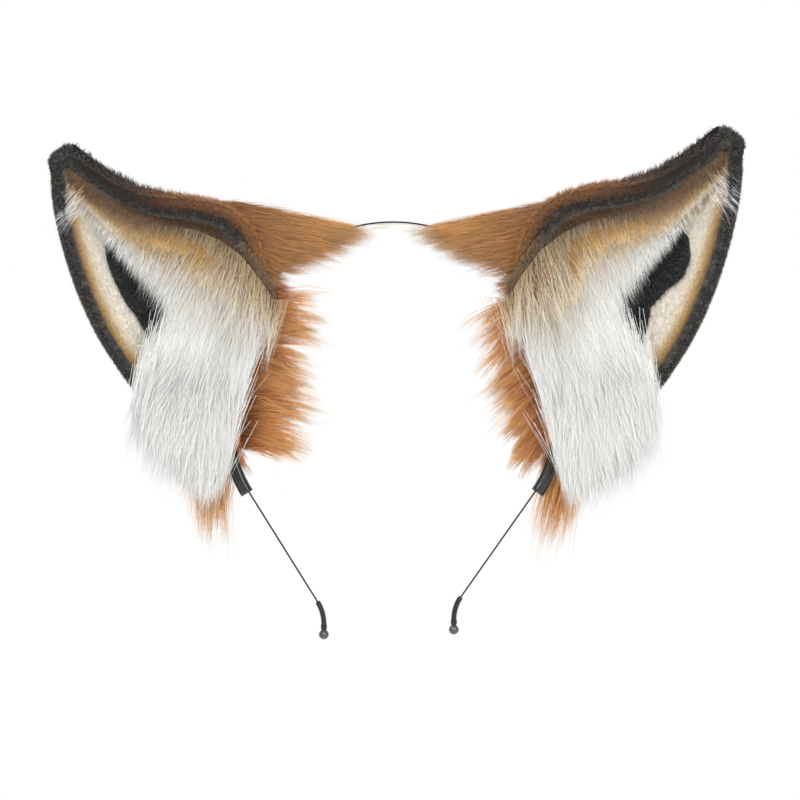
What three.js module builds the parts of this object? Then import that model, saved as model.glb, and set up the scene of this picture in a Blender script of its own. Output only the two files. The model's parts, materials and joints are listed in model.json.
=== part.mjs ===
// Animal ears headband: a thin spring-steel band worn over the head, with two faux-fur fox ears
// bound to its shoulders, and a rubber-covered tip with a ball on each leg.
//
// Frame, in millimetres: +X to the right as seen from the front, +Y to the back, +Z up. The origin is
// the middle of the crown pad's underside, where the band lies on the head.
// Each side is drawn with x as the distance outwards from the middle, and the left side is mirrored.
import * as THREE from "three";

// ---------------------------------------------------------------- the band
const ARCH_RADIUS = 62.4; // of the centreline over the head
const BAND_WIDTH = 3.2;
const BAND_THICKNESS = 0.55;
const PAD_THICKNESS = 2.1; // clear pad under the crown
const TOUCH_GAP = 0.3; // between two pieces that lie on each other
const SIDE_STRAIGHT = 18; // upright stretch below the arch
const LOWER_LENGTH = 25.1; // stretch that turns in towards the neck
const LOWER_TURN = { left: 32, right: 35.2 }; // degrees
const LEG_LENGTH = 49.8; // straight stretch below the sleeve
const TIP_LENGTH = 9.2; // curve of the covered tip, back to upright
const TIP_STRAIGHT = 4;
const CROWN_HALF_ANGLE = 18; // degrees from the middle to the places where the crown flexes
const FLEX_GAP = 0.4; // half the gap between two stretches of the band
const TONGUE_LENGTH = 7; // the band narrows above the tip cover, and this much goes inside it
const TONGUE_WIDTH = 1.8;

// ---------------------------------------------------------------- what is bound to the band
const WIRE_RADIUS = 0.7; // soft iron wire, along the band and round the ear
const WIRE_OFFSET = 1.4; // the base wire's centre, outside the band's centreline
const SLEEVE_LENGTH = 17;
const UPPER_SLEEVE_LENGTH = 9;
const SLEEVE_WALL = 0.35;
const SLEEVE_SHIFT = 0.85; // a sleeve's centre, outside the band's centreline
const BINDING_OFFSET = 2.9; // felt strip over the base wire
const BINDING_THICKNESS = 0.9;
const BINDING_WIDTH = 8;
const BALL_RADIUS = 1.95;

// ---------------------------------------------------------------- the ears
const BASE_OFFSET = 6.4; // the ear's base, outside the band's centreline
const BASE_START = 0.015; // share of the ear's length left bare at its base
const FOAM_THICKNESS = 1.6;
const LAYER_GAP = 0.6;
const RIM_WIDTH = 3.8; // of the dark rim, seen from the front
const RIM_PILE = 2.2;
const LINING_PILE = 2;
const PATCH_PILE = 1.2;
const BACK_PILE = 4.6; // fur on the ear's back
const CUP_DEPTH = 25; // at the base
const RIM_BASE_Y = -10; // the rim at the base stands this far in front of the band
const RIM_TIP_Y = -2;
const FOLD_RISE = 7; // how far the ear's top rolls up behind its front rim
const TIP_ROUND = 3; // how far the tip bulges past its two edges
const EAR_PIVOT = [62, -48]; // the ears differ a little in size and lift about this point
const EAR_SCALE = { left: 0.965, right: 1.03 };
const EAR_LIFT = { left: -0.6, right: 0.8 }; // degrees

// Outlines seen from the front, as [x, z]: the ear's two edges from its base to its tip.
const EAR_OUTER = [
  [68.8, -79], [80, -75.5], [90.5, -69], [99.5, -60], [108.5, -47.5], [115.5, -35.5],
  [122, -20.5], [127, -5], [130.6, 11], [131.8, 26],
];
const EAR_UPPER = [
  [53, -17.5], [54.6, -9], [58.5, -0.5], [65.5, 5.5], [76, 8.6], [88, 10], [100, 12.8],
  [110.5, 18.2], [119.5, 24.5], [127.5, 31.5],
];
// The long white fur's two sides, from its root near the tip to its end below the ear.
const TUFT_OUTER = [[124, 14], [111, -14], [98, -46], [96.5, -70], [93, -97], [84, -116]];
const TUFT_INNER = [[115, 18], [92, 2], [67, -8], [58.5, -36], [63, -78], [70, -121]];
const TUFT_BACK_Y = -14.6;
const TUFT_DEPTH = 8.5;
// The fur swept to the crown, from its end near the middle to the ear.
const SWEEP_UPPER = [[10, 1.2], [24, 2.4], [35, 3.2], [43.6, 3.4]];
const SWEEP_LOWER = [[10, -2], [24, -7], [35, -14.5], [43, -24]];
const SWEEP_BACK_Y = -3;
const SWEEP_DEPTH = 7;
// The fringe inside the arch, behind the band.
const FRINGE_REACH = 12;
const FRINGE_Y = [2.6, 8.6];

// ---------------------------------------------------------------- materials
const finish = (color, roughness, metalness = 0) =>
  new THREE.MeshStandardMaterial({ color, roughness, metalness });
const MATERIALS = {
  bandSteel: finish(0x17181a, 0.35, 0.8),
  clearPad: finish(0xd9d6cc, 0.3),
  softIron: finish(0x6d6f70, 0.5, 0.9),
  shrinkTube: finish(0x18191b, 0.3),
  tipRubber: finish(0x1b1c1d, 0.35),
  smokeBall: finish(0x55585a, 0.2),
  felt: finish(0x8a4a1c, 0.95),
  foam: finish(0x2a2a2b, 0.9),
  brownFur: finish(0x5a3a22, 0.95),
  rimFur: finish(0x33373a, 0.95),
  creamFur: finish(0xd9cdb2, 0.95),
  blackFur: finish(0x1c1c1e, 0.95),
  whiteFur: finish(0xe9e8e2, 0.9),
  tanFur: finish(0xb57a3a, 0.9),
  orangeFur: finish(0xa9591f, 0.9),
};

// ---------------------------------------------------------------- shapes
const { lerp, clamp, degToRad } = THREE.MathUtils;
const curveThrough = (points) => new THREE.SplineCurve(points.map(([x, z]) => new THREE.Vector2(x, z)));

// A block of cells, mapped point by point: place(u, v, w) gets three shares from 0 to 1 and gives the
// point. mirrored says that the mapping turns the block inside out, so its faces are turned back.
function mappedBlock(cellsU, cellsV, place, mirrored = false) {
  const geometry = new THREE.BoxGeometry(1, 1, 1, cellsU, cellsV, 1);
  const at = geometry.attributes.position;
  for (let i = 0; i < at.count; i++) {
    const p = place(at.getX(i) + 0.5, at.getY(i) + 0.5, at.getZ(i) + 0.5);
    at.setXYZ(i, p.x, p.y, p.z);
  }
  if (mirrored) {
    const index = geometry.index.array;
    for (let i = 0; i < index.length; i += 3) [index[i], index[i + 1]] = [index[i + 1], index[i]];
  }
  return geometry;
}

// The crown and everything on it is one arc, from side to side.
function crownStrip(thickness, offset, halfLength) {
  return mappedBlock(9, 1, (u, v, w) => {
    const angle = lerp(-halfLength, halfLength, u) / ARCH_RADIUS;
    const radius = ARCH_RADIUS + offset + thickness * (w - 0.5);
    const z = radius * Math.cos(angle) - ARCH_RADIUS + CROWN_Z;
    return new THREE.Vector3(radius * Math.sin(angle), BAND_WIDTH * (v - 0.5), z);
  });
}

// ---------------------------------------------------------------- the band's line
const CROWN_Z = PAD_THICKNESS + TOUCH_GAP + BAND_THICKNESS / 2;
const ARCH_LENGTH = ARCH_RADIUS * degToRad(90);
const CROWN_END_AT = ARCH_RADIUS * degToRad(CROWN_HALF_ANGLE);
const BASE_TOP_AT = ARCH_RADIUS * degToRad(50); // the ear's base runs down the band from here
const BASE_LOW_AT = ARCH_LENGTH + 21; // to here
const MOUTH_AT = ARCH_LENGTH + SIDE_STRAIGHT + LOWER_LENGTH; // the leg leaves its sleeve here
const SLEEVE_AT = MOUTH_AT - SLEEVE_LENGTH;
const LEG_END_AT = MOUTH_AT + LEG_LENGTH;
const BALL_AT = LEG_END_AT + TIP_LENGTH + TIP_STRAIGHT;

// The line of one side, as its stretches from the middle of the crown: each has a length and a turn.
function bandStretches(lowerTurn) {
  const turn = degToRad(lowerTurn);
  return [
    { length: ARCH_LENGTH, turn: Math.PI / 2 },
    { length: SIDE_STRAIGHT, turn: 0 },
    { length: LOWER_LENGTH, turn },
    { length: LEG_LENGTH, turn: 0 },
    { length: TIP_LENGTH, turn: -turn },
    { length: TIP_STRAIGHT * 2, turn: 0 },
  ];
}

// The point at a distance along the line from the crown, and moved outwards from it by offset.
function bandAt(stretches, distance, offset = 0) {
  let x = 0;
  let z = CROWN_Z;
  let heading = 0;
  let left = distance;
  for (const { length, turn } of stretches) {
    const part = Math.min(left, length);
    const next = heading + (turn * part) / length;
    if (turn === 0) {
      x += part * Math.cos(heading);
      z -= part * Math.sin(heading);
    } else {
      const radius = length / turn;
      x += radius * (Math.sin(next) - Math.sin(heading));
      z += radius * (Math.cos(next) - Math.cos(heading));
    }
    heading = next;
    left -= part;
    if (left <= 0) break;
  }
  return new THREE.Vector2(x + offset * Math.sin(heading), z + offset * Math.cos(heading));
}

// Bends a shape onto the line: its x is outwards, its y along the line and its z to the back.
function bendOntoBand(geometry, stretches, start, offset = 0) {
  const at = geometry.attributes.position;
  for (let i = 0; i < at.count; i++) {
    const p = bandAt(stretches, start + at.getY(i), offset + at.getX(i));
    at.setXYZ(i, p.x, at.getZ(i), p.y);
  }
  return geometry;
}

// A flat strip along the line from one distance to another. share gives how much of its width is left.
function strip(stretches, from, to, thickness, width, cells, offset = 0, share = () => 1) {
  const geometry = new THREE.BoxGeometry(thickness, to - from, width, 1, cells, 1);
  geometry.translate(0, (to - from) / 2, 0);
  const at = geometry.attributes.position;
  for (let i = 0; i < at.count; i++) at.setZ(i, at.getZ(i) * share(from + at.getY(i)));
  return bendOntoBand(geometry, stretches, from, offset);
}

// A turned piece along the line, from a closed profile of [radius, distance along]. flat gives the share
// of the radius that is left across the band's thickness.
function turned(stretches, profile, start, segments, offset = 0, flat = () => 1) {
  const points = profile.map(([radius, along]) => new THREE.Vector2(radius, along));
  const geometry = new THREE.LatheGeometry(points, segments);
  const at = geometry.attributes.position;
  for (let i = 0; i < at.count; i++) at.setX(i, at.getX(i) * flat(at.getY(i)));
  return bendOntoBand(geometry, stretches, start, offset);
}

// ---------------------------------------------------------------- pieces on the band
// The band narrows over 6 mm, from 7 mm above the tip cover.
const legWidth = (distance) =>
  lerp(1, TONGUE_WIDTH / BAND_WIDTH, clamp((distance - LEG_END_AT + 7) / 6, 0, 1));

// Heat-shrink sleeve, open at both ends and a little wider at its lower mouth.
function shrinkSleeve(stretches, from, length) {
  const rows = 3;
  const wall = [];
  for (let i = 0; i <= rows; i++) wall.push([lerp(2.05, 2.25, i / rows), (i / rows) * length]);
  const outside = wall.map(([radius, along]) => [radius + SLEEVE_WALL, along]);
  return turned(stretches, [...outside, ...wall.reverse(), outside[0]], from, 14, SLEEVE_SHIFT);
}

// Soft wire alongside the band, from inside the upper sleeve to inside the lower one.
function baseWire(stretches) {
  const from = BASE_TOP_AT - 9;
  const length = MOUTH_AT - 5 - from;
  const rows = 26;
  const profile = [[0, 0]];
  for (let i = 0; i <= rows; i++) profile.push([WIRE_RADIUS, (i / rows) * length]);
  profile.push([0, length]);
  return turned(stretches, profile, from, 8, WIRE_OFFSET);
}

// Dipped cover: its bore from the floor to the mouth, then its outside down to the neck in the ball.
function tipCover(stretches) {
  const end = BALL_AT - LEG_END_AT;
  const bore = 1.35;
  const floor = TONGUE_LENGTH + 0.5;
  const rings = 5;
  const profile = [[0, floor]];
  for (let i = rings; i >= 0; i--) profile.push([bore, (floor * i) / rings]);
  profile.push([1.62, 0]);
  for (let i = 0; i <= rings; i++) profile.push([1.85, lerp(0.6, end - 3.6, i / rings)]);
  profile.push([1.25, end - 2.2], [0.95, end - 1.8], [0.95, end + 0.7], [0, end + 0.7]);
  // flatter across the band's thickness, and round where it enters the ball
  const flat = (along) => lerp(0.56, 1, clamp((along - end + 4) / 2.2, 0, 1));
  return turned(stretches, profile, LEG_END_AT, 14, 0, flat);
}

// Ball with a blind bore for the cover's neck.
function tipBall(stretches) {
  const bore = 0.95 + TOUCH_GAP;
  const floor = 0.7 + TOUCH_GAP;
  const mouth = Math.acos(bore / BALL_RADIUS);
  const profile = [[0, floor], [bore, floor]];
  const rings = 6;
  for (let i = 0; i < rings; i++) {
    const angle = lerp(-mouth, Math.PI / 2, i / rings);
    profile.push([BALL_RADIUS * Math.cos(angle), BALL_RADIUS * Math.sin(angle)]);
  }
  profile.push([0, BALL_RADIUS]);
  return turned(stretches, profile, BALL_AT, 14);
}

// Root of the fringe, on the inside of the band.
function baseFringe(stretches) {
  const from = BASE_TOP_AT + 6;
  const to = SLEEVE_AT - 1;
  return mappedBlock(12, 2, (u, v, w) => {
    const p = bandAt(stretches, lerp(from, to, u), -lerp(1.2, FRINGE_REACH, v));
    return new THREE.Vector3(p.x, lerp(FRINGE_Y[0], FRINGE_Y[1], w), p.y);
  });
}

// A lock of fur between two outlines, with a flat back and a crowned front.
function lock(outlineU, outlineV, cellsU, backAt, crownAt, depth, mirrored = false) {
  const [first, second] = [curveThrough(outlineU), curveThrough(outlineV)];
  return mappedBlock(cellsU, 4, (u, v, w) => {
    const p = first.getPointAt(u).lerp(second.getPointAt(u), v);
    const crown = Math.sin(Math.PI * (0.12 + 0.76 * v)) * Math.sin(Math.PI * crownAt(u));
    const back = backAt(u);
    return new THREE.Vector3(p.x, lerp(back - 1.5 - depth * crown, back, w), p.y);
  }, mirrored);
}

// ---------------------------------------------------------------- the ear's surface
const outerEdge = curveThrough(EAR_OUTER);
const upperEdge = curveThrough(EAR_UPPER);
const EAR_LENGTH = outerEdge.getLength();
const acrossEar = (s) => upperEdge.getPointAt(s).sub(outerEdge.getPointAt(s));
const shareOfWidth = (s, inset) => Math.min(inset / acrossEar(s).length(), 0.45);
const straightBand = bandStretches(0);

// The ear's middle surface. s runs from the base (0) to the tip (1), t from the outer edge (0) over the
// bottom of the cup to the upper rim (1). Seen from the front it fills the space between the two edges,
// its base follows the band, its top rolls up behind the rim, and it is deepest near the base.
function earSurface(s, t) {
  const outer = outerEdge.getPointAt(s);
  const across = acrossEar(s);
  const beyond = new THREE.Vector2(across.y, -across.x).normalize();
  const roll = FOLD_RISE * Math.sin(Math.PI * t ** 5) * Math.sin(Math.PI * (0.15 + 0.7 * s));
  const p = outer.clone().addScaledVector(across, t + roll / across.length());
  p.addScaledVector(beyond, TIP_ROUND * s ** 12 * 4 * t * (1 - t));
  const base = bandAt(straightBand, lerp(BASE_LOW_AT, BASE_TOP_AT, t), BASE_OFFSET);
  const chord = outerEdge.getPoint(0).lerp(upperEdge.getPoint(0), t);
  p.addScaledVector(base.sub(chord), (1 - s) ** 3);
  const depth = CUP_DEPTH * (1 - s) ** 0.6 * Math.sin(Math.PI * t ** 1.4) ** 0.8;
  return new THREE.Vector3(p.x, lerp(RIM_BASE_Y, RIM_TIP_Y, s) + depth, p.y);
}

// The surface moved into the cup, towards the front, by offset.
function earLayer(s, t, offset) {
  const step = 0.01;
  const alongS = earSurface(Math.min(s + step, 1), t).sub(earSurface(Math.max(s - step, 0), t));
  const alongT = earSurface(s, Math.min(t + step, 1)).sub(earSurface(s, Math.max(t - step, 0)));
  return earSurface(s, t).addScaledVector(alongS.cross(alongT).normalize(), offset);
}

// A layer of the ear between two offsets, held back from its edges and its tip.
function earPanel(backOffset, frontOffset, inset, tipInset) {
  return mappedBlock(13, 10, (u, v, w) => {
    const s = lerp(BASE_START, 1 - tipInset / EAR_LENGTH, u);
    const edge = shareOfWidth(s, inset);
    return earLayer(s, lerp(edge, 1 - edge, v), lerp(backOffset(s, v), frontOffset(s, v), w));
  });
}

// Dark rim: a band round the front of the ear's edge, from the base over the tip to the base.
function rimTrim(offset) {
  const cells = 26;
  const [tipFrom, tipTo] = [12 / cells, 14 / cells];
  const around = (u, share) => {
    const inset = RIM_WIDTH * share;
    const top = 1 - inset / EAR_LENGTH;
    if (u < tipFrom) {
      const s = lerp(BASE_START, top, u / tipFrom);
      return [s, shareOfWidth(s, inset)];
    }
    if (u > tipTo) {
      const s = lerp(top, BASE_START, (u - tipTo) / (1 - tipTo));
      return [s, 1 - shareOfWidth(s, inset)];
    }
    const edge = shareOfWidth(top, inset);
    return [top, lerp(edge, 1 - edge, (u - tipFrom) / (tipTo - tipFrom))];
  };
  return mappedBlock(cells, 1, (u, v, w) => {
    const [s, t] = around(Math.round(u * cells) / cells, lerp(0.03, 1, v));
    return earLayer(s, t, offset + RIM_PILE * w);
  });
}

// Round wire along the ear's edge, from its base over the tip to its base.
function frameWire() {
  const inset = 1.6;
  const top = 1 - 3 / EAR_LENGTH;
  const rows = 12;
  const sides = [];
  for (let i = 0; i <= rows; i++) {
    const s = lerp(0.03, top, i / rows);
    const edge = shareOfWidth(s, inset);
    sides.push([earLayer(s, edge, 0), earLayer(s, 1 - edge, 0)]);
  }
  const overTip = [0.35, 0.65].map((t) => earLayer(top, t, 0));
  const points = [...sides.map(([outer]) => outer), ...overTip, ...sides.reverse().map(([, upper]) => upper)];
  const section = new THREE.Shape().absarc(0, 0, WIRE_RADIUS, 0, 2 * Math.PI);
  const extrudePath = new THREE.CatmullRomCurve3(points);
  const options = { steps: 56, curveSegments: 4, bevelEnabled: false, extrudePath };
  return new THREE.ExtrudeGeometry(section, options);
}

// ---------------------------------------------------------------- assembly
function piece(name, geometry, material) {
  const mesh = new THREE.Mesh(geometry, material);
  mesh.name = name;
  return mesh;
}

function ear(side) {
  const half = FOAM_THICKNESS / 2;
  const front = half + LAYER_GAP;
  const back = -front - 1.2;
  const patchAt = front + LINING_PILE + LAYER_GAP;
  const foamHalf = (s) => half * (1 - 0.4 * s);
  const furBack = (s, v) =>
    back - BACK_PILE * (1 - 0.35 * s) * (0.75 + 0.5 * Math.sin(Math.PI * v) * (1 - s));
  const lining = earPanel(() => front + 0.1, () => front + LINING_PILE, RIM_WIDTH + 1.2, RIM_WIDTH + 2);
  const innerPatch = mappedBlock(8, 3, (u, v, w) =>
    earLayer(lerp(0.26, 0.74, u), lerp(0.13, 0.41, v) + 0.1 * u, patchAt + PATCH_PILE * w));
  const tuft = lock(TUFT_OUTER, TUFT_INNER, 12, (u) => lerp(-8, TUFT_BACK_Y, clamp(u * 3, 0, 1)),
    (u) => 0.12 + 0.74 * u, TUFT_DEPTH);

  const shape = new THREE.Group();
  shape.position.set(-EAR_PIVOT[0], 0, -EAR_PIVOT[1]);
  shape.add(
    piece(`${side}_ear_foam_core`, earPanel((s) => -foamHalf(s), foamHalf, 3.4, 12), MATERIALS.foam),
    piece(`${side}_ear_frame_wire`, frameWire(), MATERIALS.softIron),
    piece(`${side}_ear_back_fur`, earPanel(furBack, () => back, 0.3, 0.3), MATERIALS.brownFur),
    piece(`${side}_ear_front_lining`, lining, MATERIALS.creamFur),
    piece(`${side}_ear_rim_trim`, rimTrim(front + 0.9), MATERIALS.rimFur),
    piece(`${side}_ear_inner_patch`, innerPatch, MATERIALS.blackFur),
    piece(`${side}_ear_white_tuft`, tuft, MATERIALS.whiteFur),
  );
  const placed = new THREE.Group();
  placed.position.set(EAR_PIVOT[0], 0, EAR_PIVOT[1]);
  placed.rotation.y = -degToRad(EAR_LIFT[side]);
  placed.scale.setScalar(EAR_SCALE[side]);
  placed.add(shape);
  return placed;
}

function halfOfBand(side) {
  const line = bandStretches(LOWER_TURN[side]);
  const shoulder = strip(line, CROWN_END_AT + FLEX_GAP, MOUTH_AT - FLEX_GAP, BAND_THICKNESS, BAND_WIDTH, 30);
  const leg = strip(line, MOUTH_AT + FLEX_GAP, LEG_END_AT + TONGUE_LENGTH, BAND_THICKNESS, BAND_WIDTH, 22, 0,
    legWidth);
  const binding = strip(line, BASE_TOP_AT + 2, SLEEVE_AT - 0.5, BINDING_THICKNESS, BINDING_WIDTH, 18,
    BINDING_OFFSET);
  const upperSleeve = shrinkSleeve(line, BASE_TOP_AT - 12, UPPER_SLEEVE_LENGTH);
  const sweep = lock(SWEEP_LOWER, SWEEP_UPPER, 8, () => SWEEP_BACK_Y, (u) => 0.12 + 0.6 * u, SWEEP_DEPTH,
    true);
  const half = new THREE.Group();
  half.add(
    piece(`${side}_shoulder_band`, shoulder, MATERIALS.bandSteel),
    piece(`${side}_base_wire`, baseWire(line), MATERIALS.softIron),
    piece(`${side}_upper_sleeve`, upperSleeve, MATERIALS.shrinkTube),
    piece(`${side}_lower_sleeve`, shrinkSleeve(line, SLEEVE_AT, SLEEVE_LENGTH), MATERIALS.shrinkTube),
    piece(`${side}_base_binding`, binding, MATERIALS.felt),
    piece(`${side}_base_fringe`, baseFringe(line), MATERIALS.orangeFur),
    piece(`${side}_crown_tuft`, sweep, MATERIALS.tanFur),
    piece(`${side}_leg_band`, leg, MATERIALS.bandSteel),
    piece(`${side}_tip_cover`, tipCover(line), MATERIALS.tipRubber),
    piece(`${side}_tip_ball`, tipBall(line), MATERIALS.smokeBall),
    ear(side),
  );
  return half;
}

const headband = new THREE.Group();
const padOffset = -(BAND_THICKNESS + PAD_THICKNESS) / 2 - TOUCH_GAP;
headband.add(
  piece("crown_band", crownStrip(BAND_THICKNESS, 0, CROWN_END_AT - FLEX_GAP), MATERIALS.bandSteel),
  piece("crown_pad", crownStrip(PAD_THICKNESS, padOffset, CROWN_END_AT - 1), MATERIALS.clearPad),
);
const [right, left] = [halfOfBand("right"), halfOfBand("left")];
left.scale.x = -1;
headband.add(right, left);

export default headband;
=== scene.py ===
import json

import bpy
import numpy as np
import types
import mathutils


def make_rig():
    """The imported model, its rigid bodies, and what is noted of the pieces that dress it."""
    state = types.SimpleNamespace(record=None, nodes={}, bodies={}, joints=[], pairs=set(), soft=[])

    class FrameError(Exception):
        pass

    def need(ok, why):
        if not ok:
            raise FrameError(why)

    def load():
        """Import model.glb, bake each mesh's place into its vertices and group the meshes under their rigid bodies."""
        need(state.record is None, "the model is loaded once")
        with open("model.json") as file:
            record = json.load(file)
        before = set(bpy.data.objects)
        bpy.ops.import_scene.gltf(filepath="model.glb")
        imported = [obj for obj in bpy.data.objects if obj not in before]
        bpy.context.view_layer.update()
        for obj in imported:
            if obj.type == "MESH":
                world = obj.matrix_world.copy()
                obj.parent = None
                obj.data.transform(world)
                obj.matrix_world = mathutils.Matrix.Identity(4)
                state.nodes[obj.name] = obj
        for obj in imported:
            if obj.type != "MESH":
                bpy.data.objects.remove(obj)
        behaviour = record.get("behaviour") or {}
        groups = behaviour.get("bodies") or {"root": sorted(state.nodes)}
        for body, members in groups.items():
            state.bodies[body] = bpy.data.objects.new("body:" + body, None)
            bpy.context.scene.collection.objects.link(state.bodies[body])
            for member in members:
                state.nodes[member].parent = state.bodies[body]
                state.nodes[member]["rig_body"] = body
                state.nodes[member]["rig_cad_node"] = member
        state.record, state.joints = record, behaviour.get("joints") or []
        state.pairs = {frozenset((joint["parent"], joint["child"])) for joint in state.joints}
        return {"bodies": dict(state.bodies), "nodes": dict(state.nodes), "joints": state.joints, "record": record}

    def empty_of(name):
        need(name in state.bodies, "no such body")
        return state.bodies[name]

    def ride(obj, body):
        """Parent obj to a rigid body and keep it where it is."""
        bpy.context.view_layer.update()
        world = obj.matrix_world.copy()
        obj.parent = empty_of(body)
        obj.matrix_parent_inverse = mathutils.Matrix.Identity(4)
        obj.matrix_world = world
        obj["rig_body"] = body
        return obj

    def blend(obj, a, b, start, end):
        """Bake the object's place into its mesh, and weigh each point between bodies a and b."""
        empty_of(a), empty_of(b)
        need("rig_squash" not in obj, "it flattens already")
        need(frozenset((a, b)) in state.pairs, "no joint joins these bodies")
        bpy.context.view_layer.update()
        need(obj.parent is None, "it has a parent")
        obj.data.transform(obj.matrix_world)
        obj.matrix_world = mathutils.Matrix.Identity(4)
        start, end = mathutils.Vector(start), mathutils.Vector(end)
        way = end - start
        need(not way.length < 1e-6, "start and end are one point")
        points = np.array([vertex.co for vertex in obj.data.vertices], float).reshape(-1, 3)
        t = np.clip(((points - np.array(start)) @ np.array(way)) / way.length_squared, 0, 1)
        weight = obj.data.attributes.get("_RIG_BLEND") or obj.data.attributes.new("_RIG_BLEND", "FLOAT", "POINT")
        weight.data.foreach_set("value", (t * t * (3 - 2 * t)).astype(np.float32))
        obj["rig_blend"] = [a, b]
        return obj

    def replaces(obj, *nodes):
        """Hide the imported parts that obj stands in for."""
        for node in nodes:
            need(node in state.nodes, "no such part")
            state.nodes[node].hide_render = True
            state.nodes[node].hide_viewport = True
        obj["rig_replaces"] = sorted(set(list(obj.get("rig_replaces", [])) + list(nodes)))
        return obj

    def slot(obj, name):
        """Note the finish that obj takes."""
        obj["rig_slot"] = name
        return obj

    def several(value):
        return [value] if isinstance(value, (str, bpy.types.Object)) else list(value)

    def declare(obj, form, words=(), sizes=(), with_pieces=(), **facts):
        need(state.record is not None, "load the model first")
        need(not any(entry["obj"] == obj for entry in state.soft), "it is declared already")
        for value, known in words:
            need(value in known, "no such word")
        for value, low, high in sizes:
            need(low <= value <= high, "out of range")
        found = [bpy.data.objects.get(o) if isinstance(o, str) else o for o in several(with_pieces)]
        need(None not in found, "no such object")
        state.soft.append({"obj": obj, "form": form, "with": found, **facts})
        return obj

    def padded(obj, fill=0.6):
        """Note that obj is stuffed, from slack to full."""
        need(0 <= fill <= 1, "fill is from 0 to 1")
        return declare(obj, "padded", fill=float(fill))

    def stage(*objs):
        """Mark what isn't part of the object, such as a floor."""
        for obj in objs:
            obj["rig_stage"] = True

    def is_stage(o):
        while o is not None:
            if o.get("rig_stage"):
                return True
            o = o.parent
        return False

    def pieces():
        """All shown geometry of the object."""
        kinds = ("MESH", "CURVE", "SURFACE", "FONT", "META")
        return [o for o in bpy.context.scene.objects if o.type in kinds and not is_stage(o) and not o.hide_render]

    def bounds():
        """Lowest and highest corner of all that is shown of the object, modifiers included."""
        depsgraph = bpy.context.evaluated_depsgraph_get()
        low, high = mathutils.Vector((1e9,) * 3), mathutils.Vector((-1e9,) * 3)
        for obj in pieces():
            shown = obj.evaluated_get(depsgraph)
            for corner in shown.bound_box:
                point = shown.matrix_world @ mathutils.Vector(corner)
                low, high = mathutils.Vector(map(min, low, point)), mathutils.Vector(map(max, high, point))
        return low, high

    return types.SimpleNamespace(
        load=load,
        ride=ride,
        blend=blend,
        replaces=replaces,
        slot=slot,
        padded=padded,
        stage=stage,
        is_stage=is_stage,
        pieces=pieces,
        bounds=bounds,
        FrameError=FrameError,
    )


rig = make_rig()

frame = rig.load()
cad_low, cad_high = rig.bounds()

# ------------------------------------------------------------------ camera
# The headband is seen straight from the front, with its lens well back, so that both ears keep
# their outlines. The whole width of the ears fills most of the frame.
SENSOR_WIDTH = 36.0
FRAME_WIDTH = 0.3088
CAMERA_AT = (0.0027, -1.2, -0.066)

camera_data = bpy.data.cameras.new("front_camera")
camera_data.sensor_width = SENSOR_WIDTH
camera_data.lens = SENSOR_WIDTH * -CAMERA_AT[1] / FRAME_WIDTH
camera_data.clip_start = 0.05
camera_data.clip_end = 20.0
camera = bpy.data.objects.new("front_camera", camera_data)
camera.location = CAMERA_AT
camera.rotation_euler = (np.pi / 2, 0, 0)
bpy.context.scene.collection.objects.link(camera)
bpy.context.scene.camera = camera

# ------------------------------------------------------------------ the steel band
# One strip of blued spring steel, about 3 mm wide and half a millimetre thick, bent over the head and
# down both sides to the tips. It is blanked with rounded edges and black-oxide finished. It is cut at
# the middle of the crown and under the fur of each shoulder, where the cuts are never seen.
# Sizes are in millimetres and angles in degrees. AT is a distance along the band from its middle.
MM = 0.001
SIDES = {"right": 1, "left": -1}
ARCH_RADIUS = 62.4
BAND_WIDTH = 3.2
BAND_THICKNESS = 0.55
CROWN_Z = 2.675
SIDE_STRAIGHT = 18
LOWER_LENGTH = 25.1
LOWER_TURN = {"left": 32, "right": 35.2}
LEG_LENGTH = 49.8
TIP_LENGTH = 9.2
TIP_STRAIGHT = 4
TONGUE_LENGTH = 7
TONGUE_WIDTH = 1.8
TONGUE_TAPER = 6
ARCH_LENGTH = ARCH_RADIUS * np.pi / 2
CROWN_HALF_ANGLE = 18
BASE_TOP_ANGLE = 50
BASE_BELOW_ARCH = 21
CROWN_END_AT = ARCH_RADIUS * np.radians(CROWN_HALF_ANGLE)
BASE_TOP_AT = ARCH_RADIUS * np.radians(BASE_TOP_ANGLE)
BASE_LOW_AT = ARCH_LENGTH + BASE_BELOW_ARCH
MOUTH_AT = ARCH_LENGTH + SIDE_STRAIGHT + LOWER_LENGTH
LEG_END_AT = MOUTH_AT + LEG_LENGTH
BALL_AT = LEG_END_AT + TIP_LENGTH + TIP_STRAIGHT


def linear(red, green, blue):
    """A colour from 0 to 255 as the renderer wants it: each part over 255, to the power 2.2."""
    return tuple((np.array([red, green, blue]) / 255) ** 2.2) + (1.0,)


def band_at(side, distance, offset=0.0):
    """Points (x, z) on the band's line at a distance from the middle of the crown, moved outwards by
    offset. The line is six stretches end to end, each a straight or an arc: heading grows by the
    stretch's turn as it is walked."""
    turn = np.radians(LOWER_TURN[side])
    lengths = [ARCH_LENGTH, SIDE_STRAIGHT, LOWER_LENGTH, LEG_LENGTH, TIP_LENGTH, TIP_STRAIGHT * 2]
    turns = [np.pi / 2, 0, turn, 0, -turn, 0]
    distance = np.asarray(distance, float)
    x, z, heading, left = 0 * distance, CROWN_Z + 0 * distance, 0 * distance, distance.copy()
    for length, bend in zip(lengths, turns):
        part = np.clip(left, 0, length)
        after = heading + bend * part / length
        if bend:
            x = x + length / bend * (np.sin(after) - np.sin(heading))
            z = z + length / bend * (np.cos(after) - np.cos(heading))
        else:
            x = x + part * np.cos(heading)
            z = z - part * np.sin(heading)
        heading, left = after, left - part
    return x + offset * np.sin(heading), z + offset * np.cos(heading)


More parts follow.
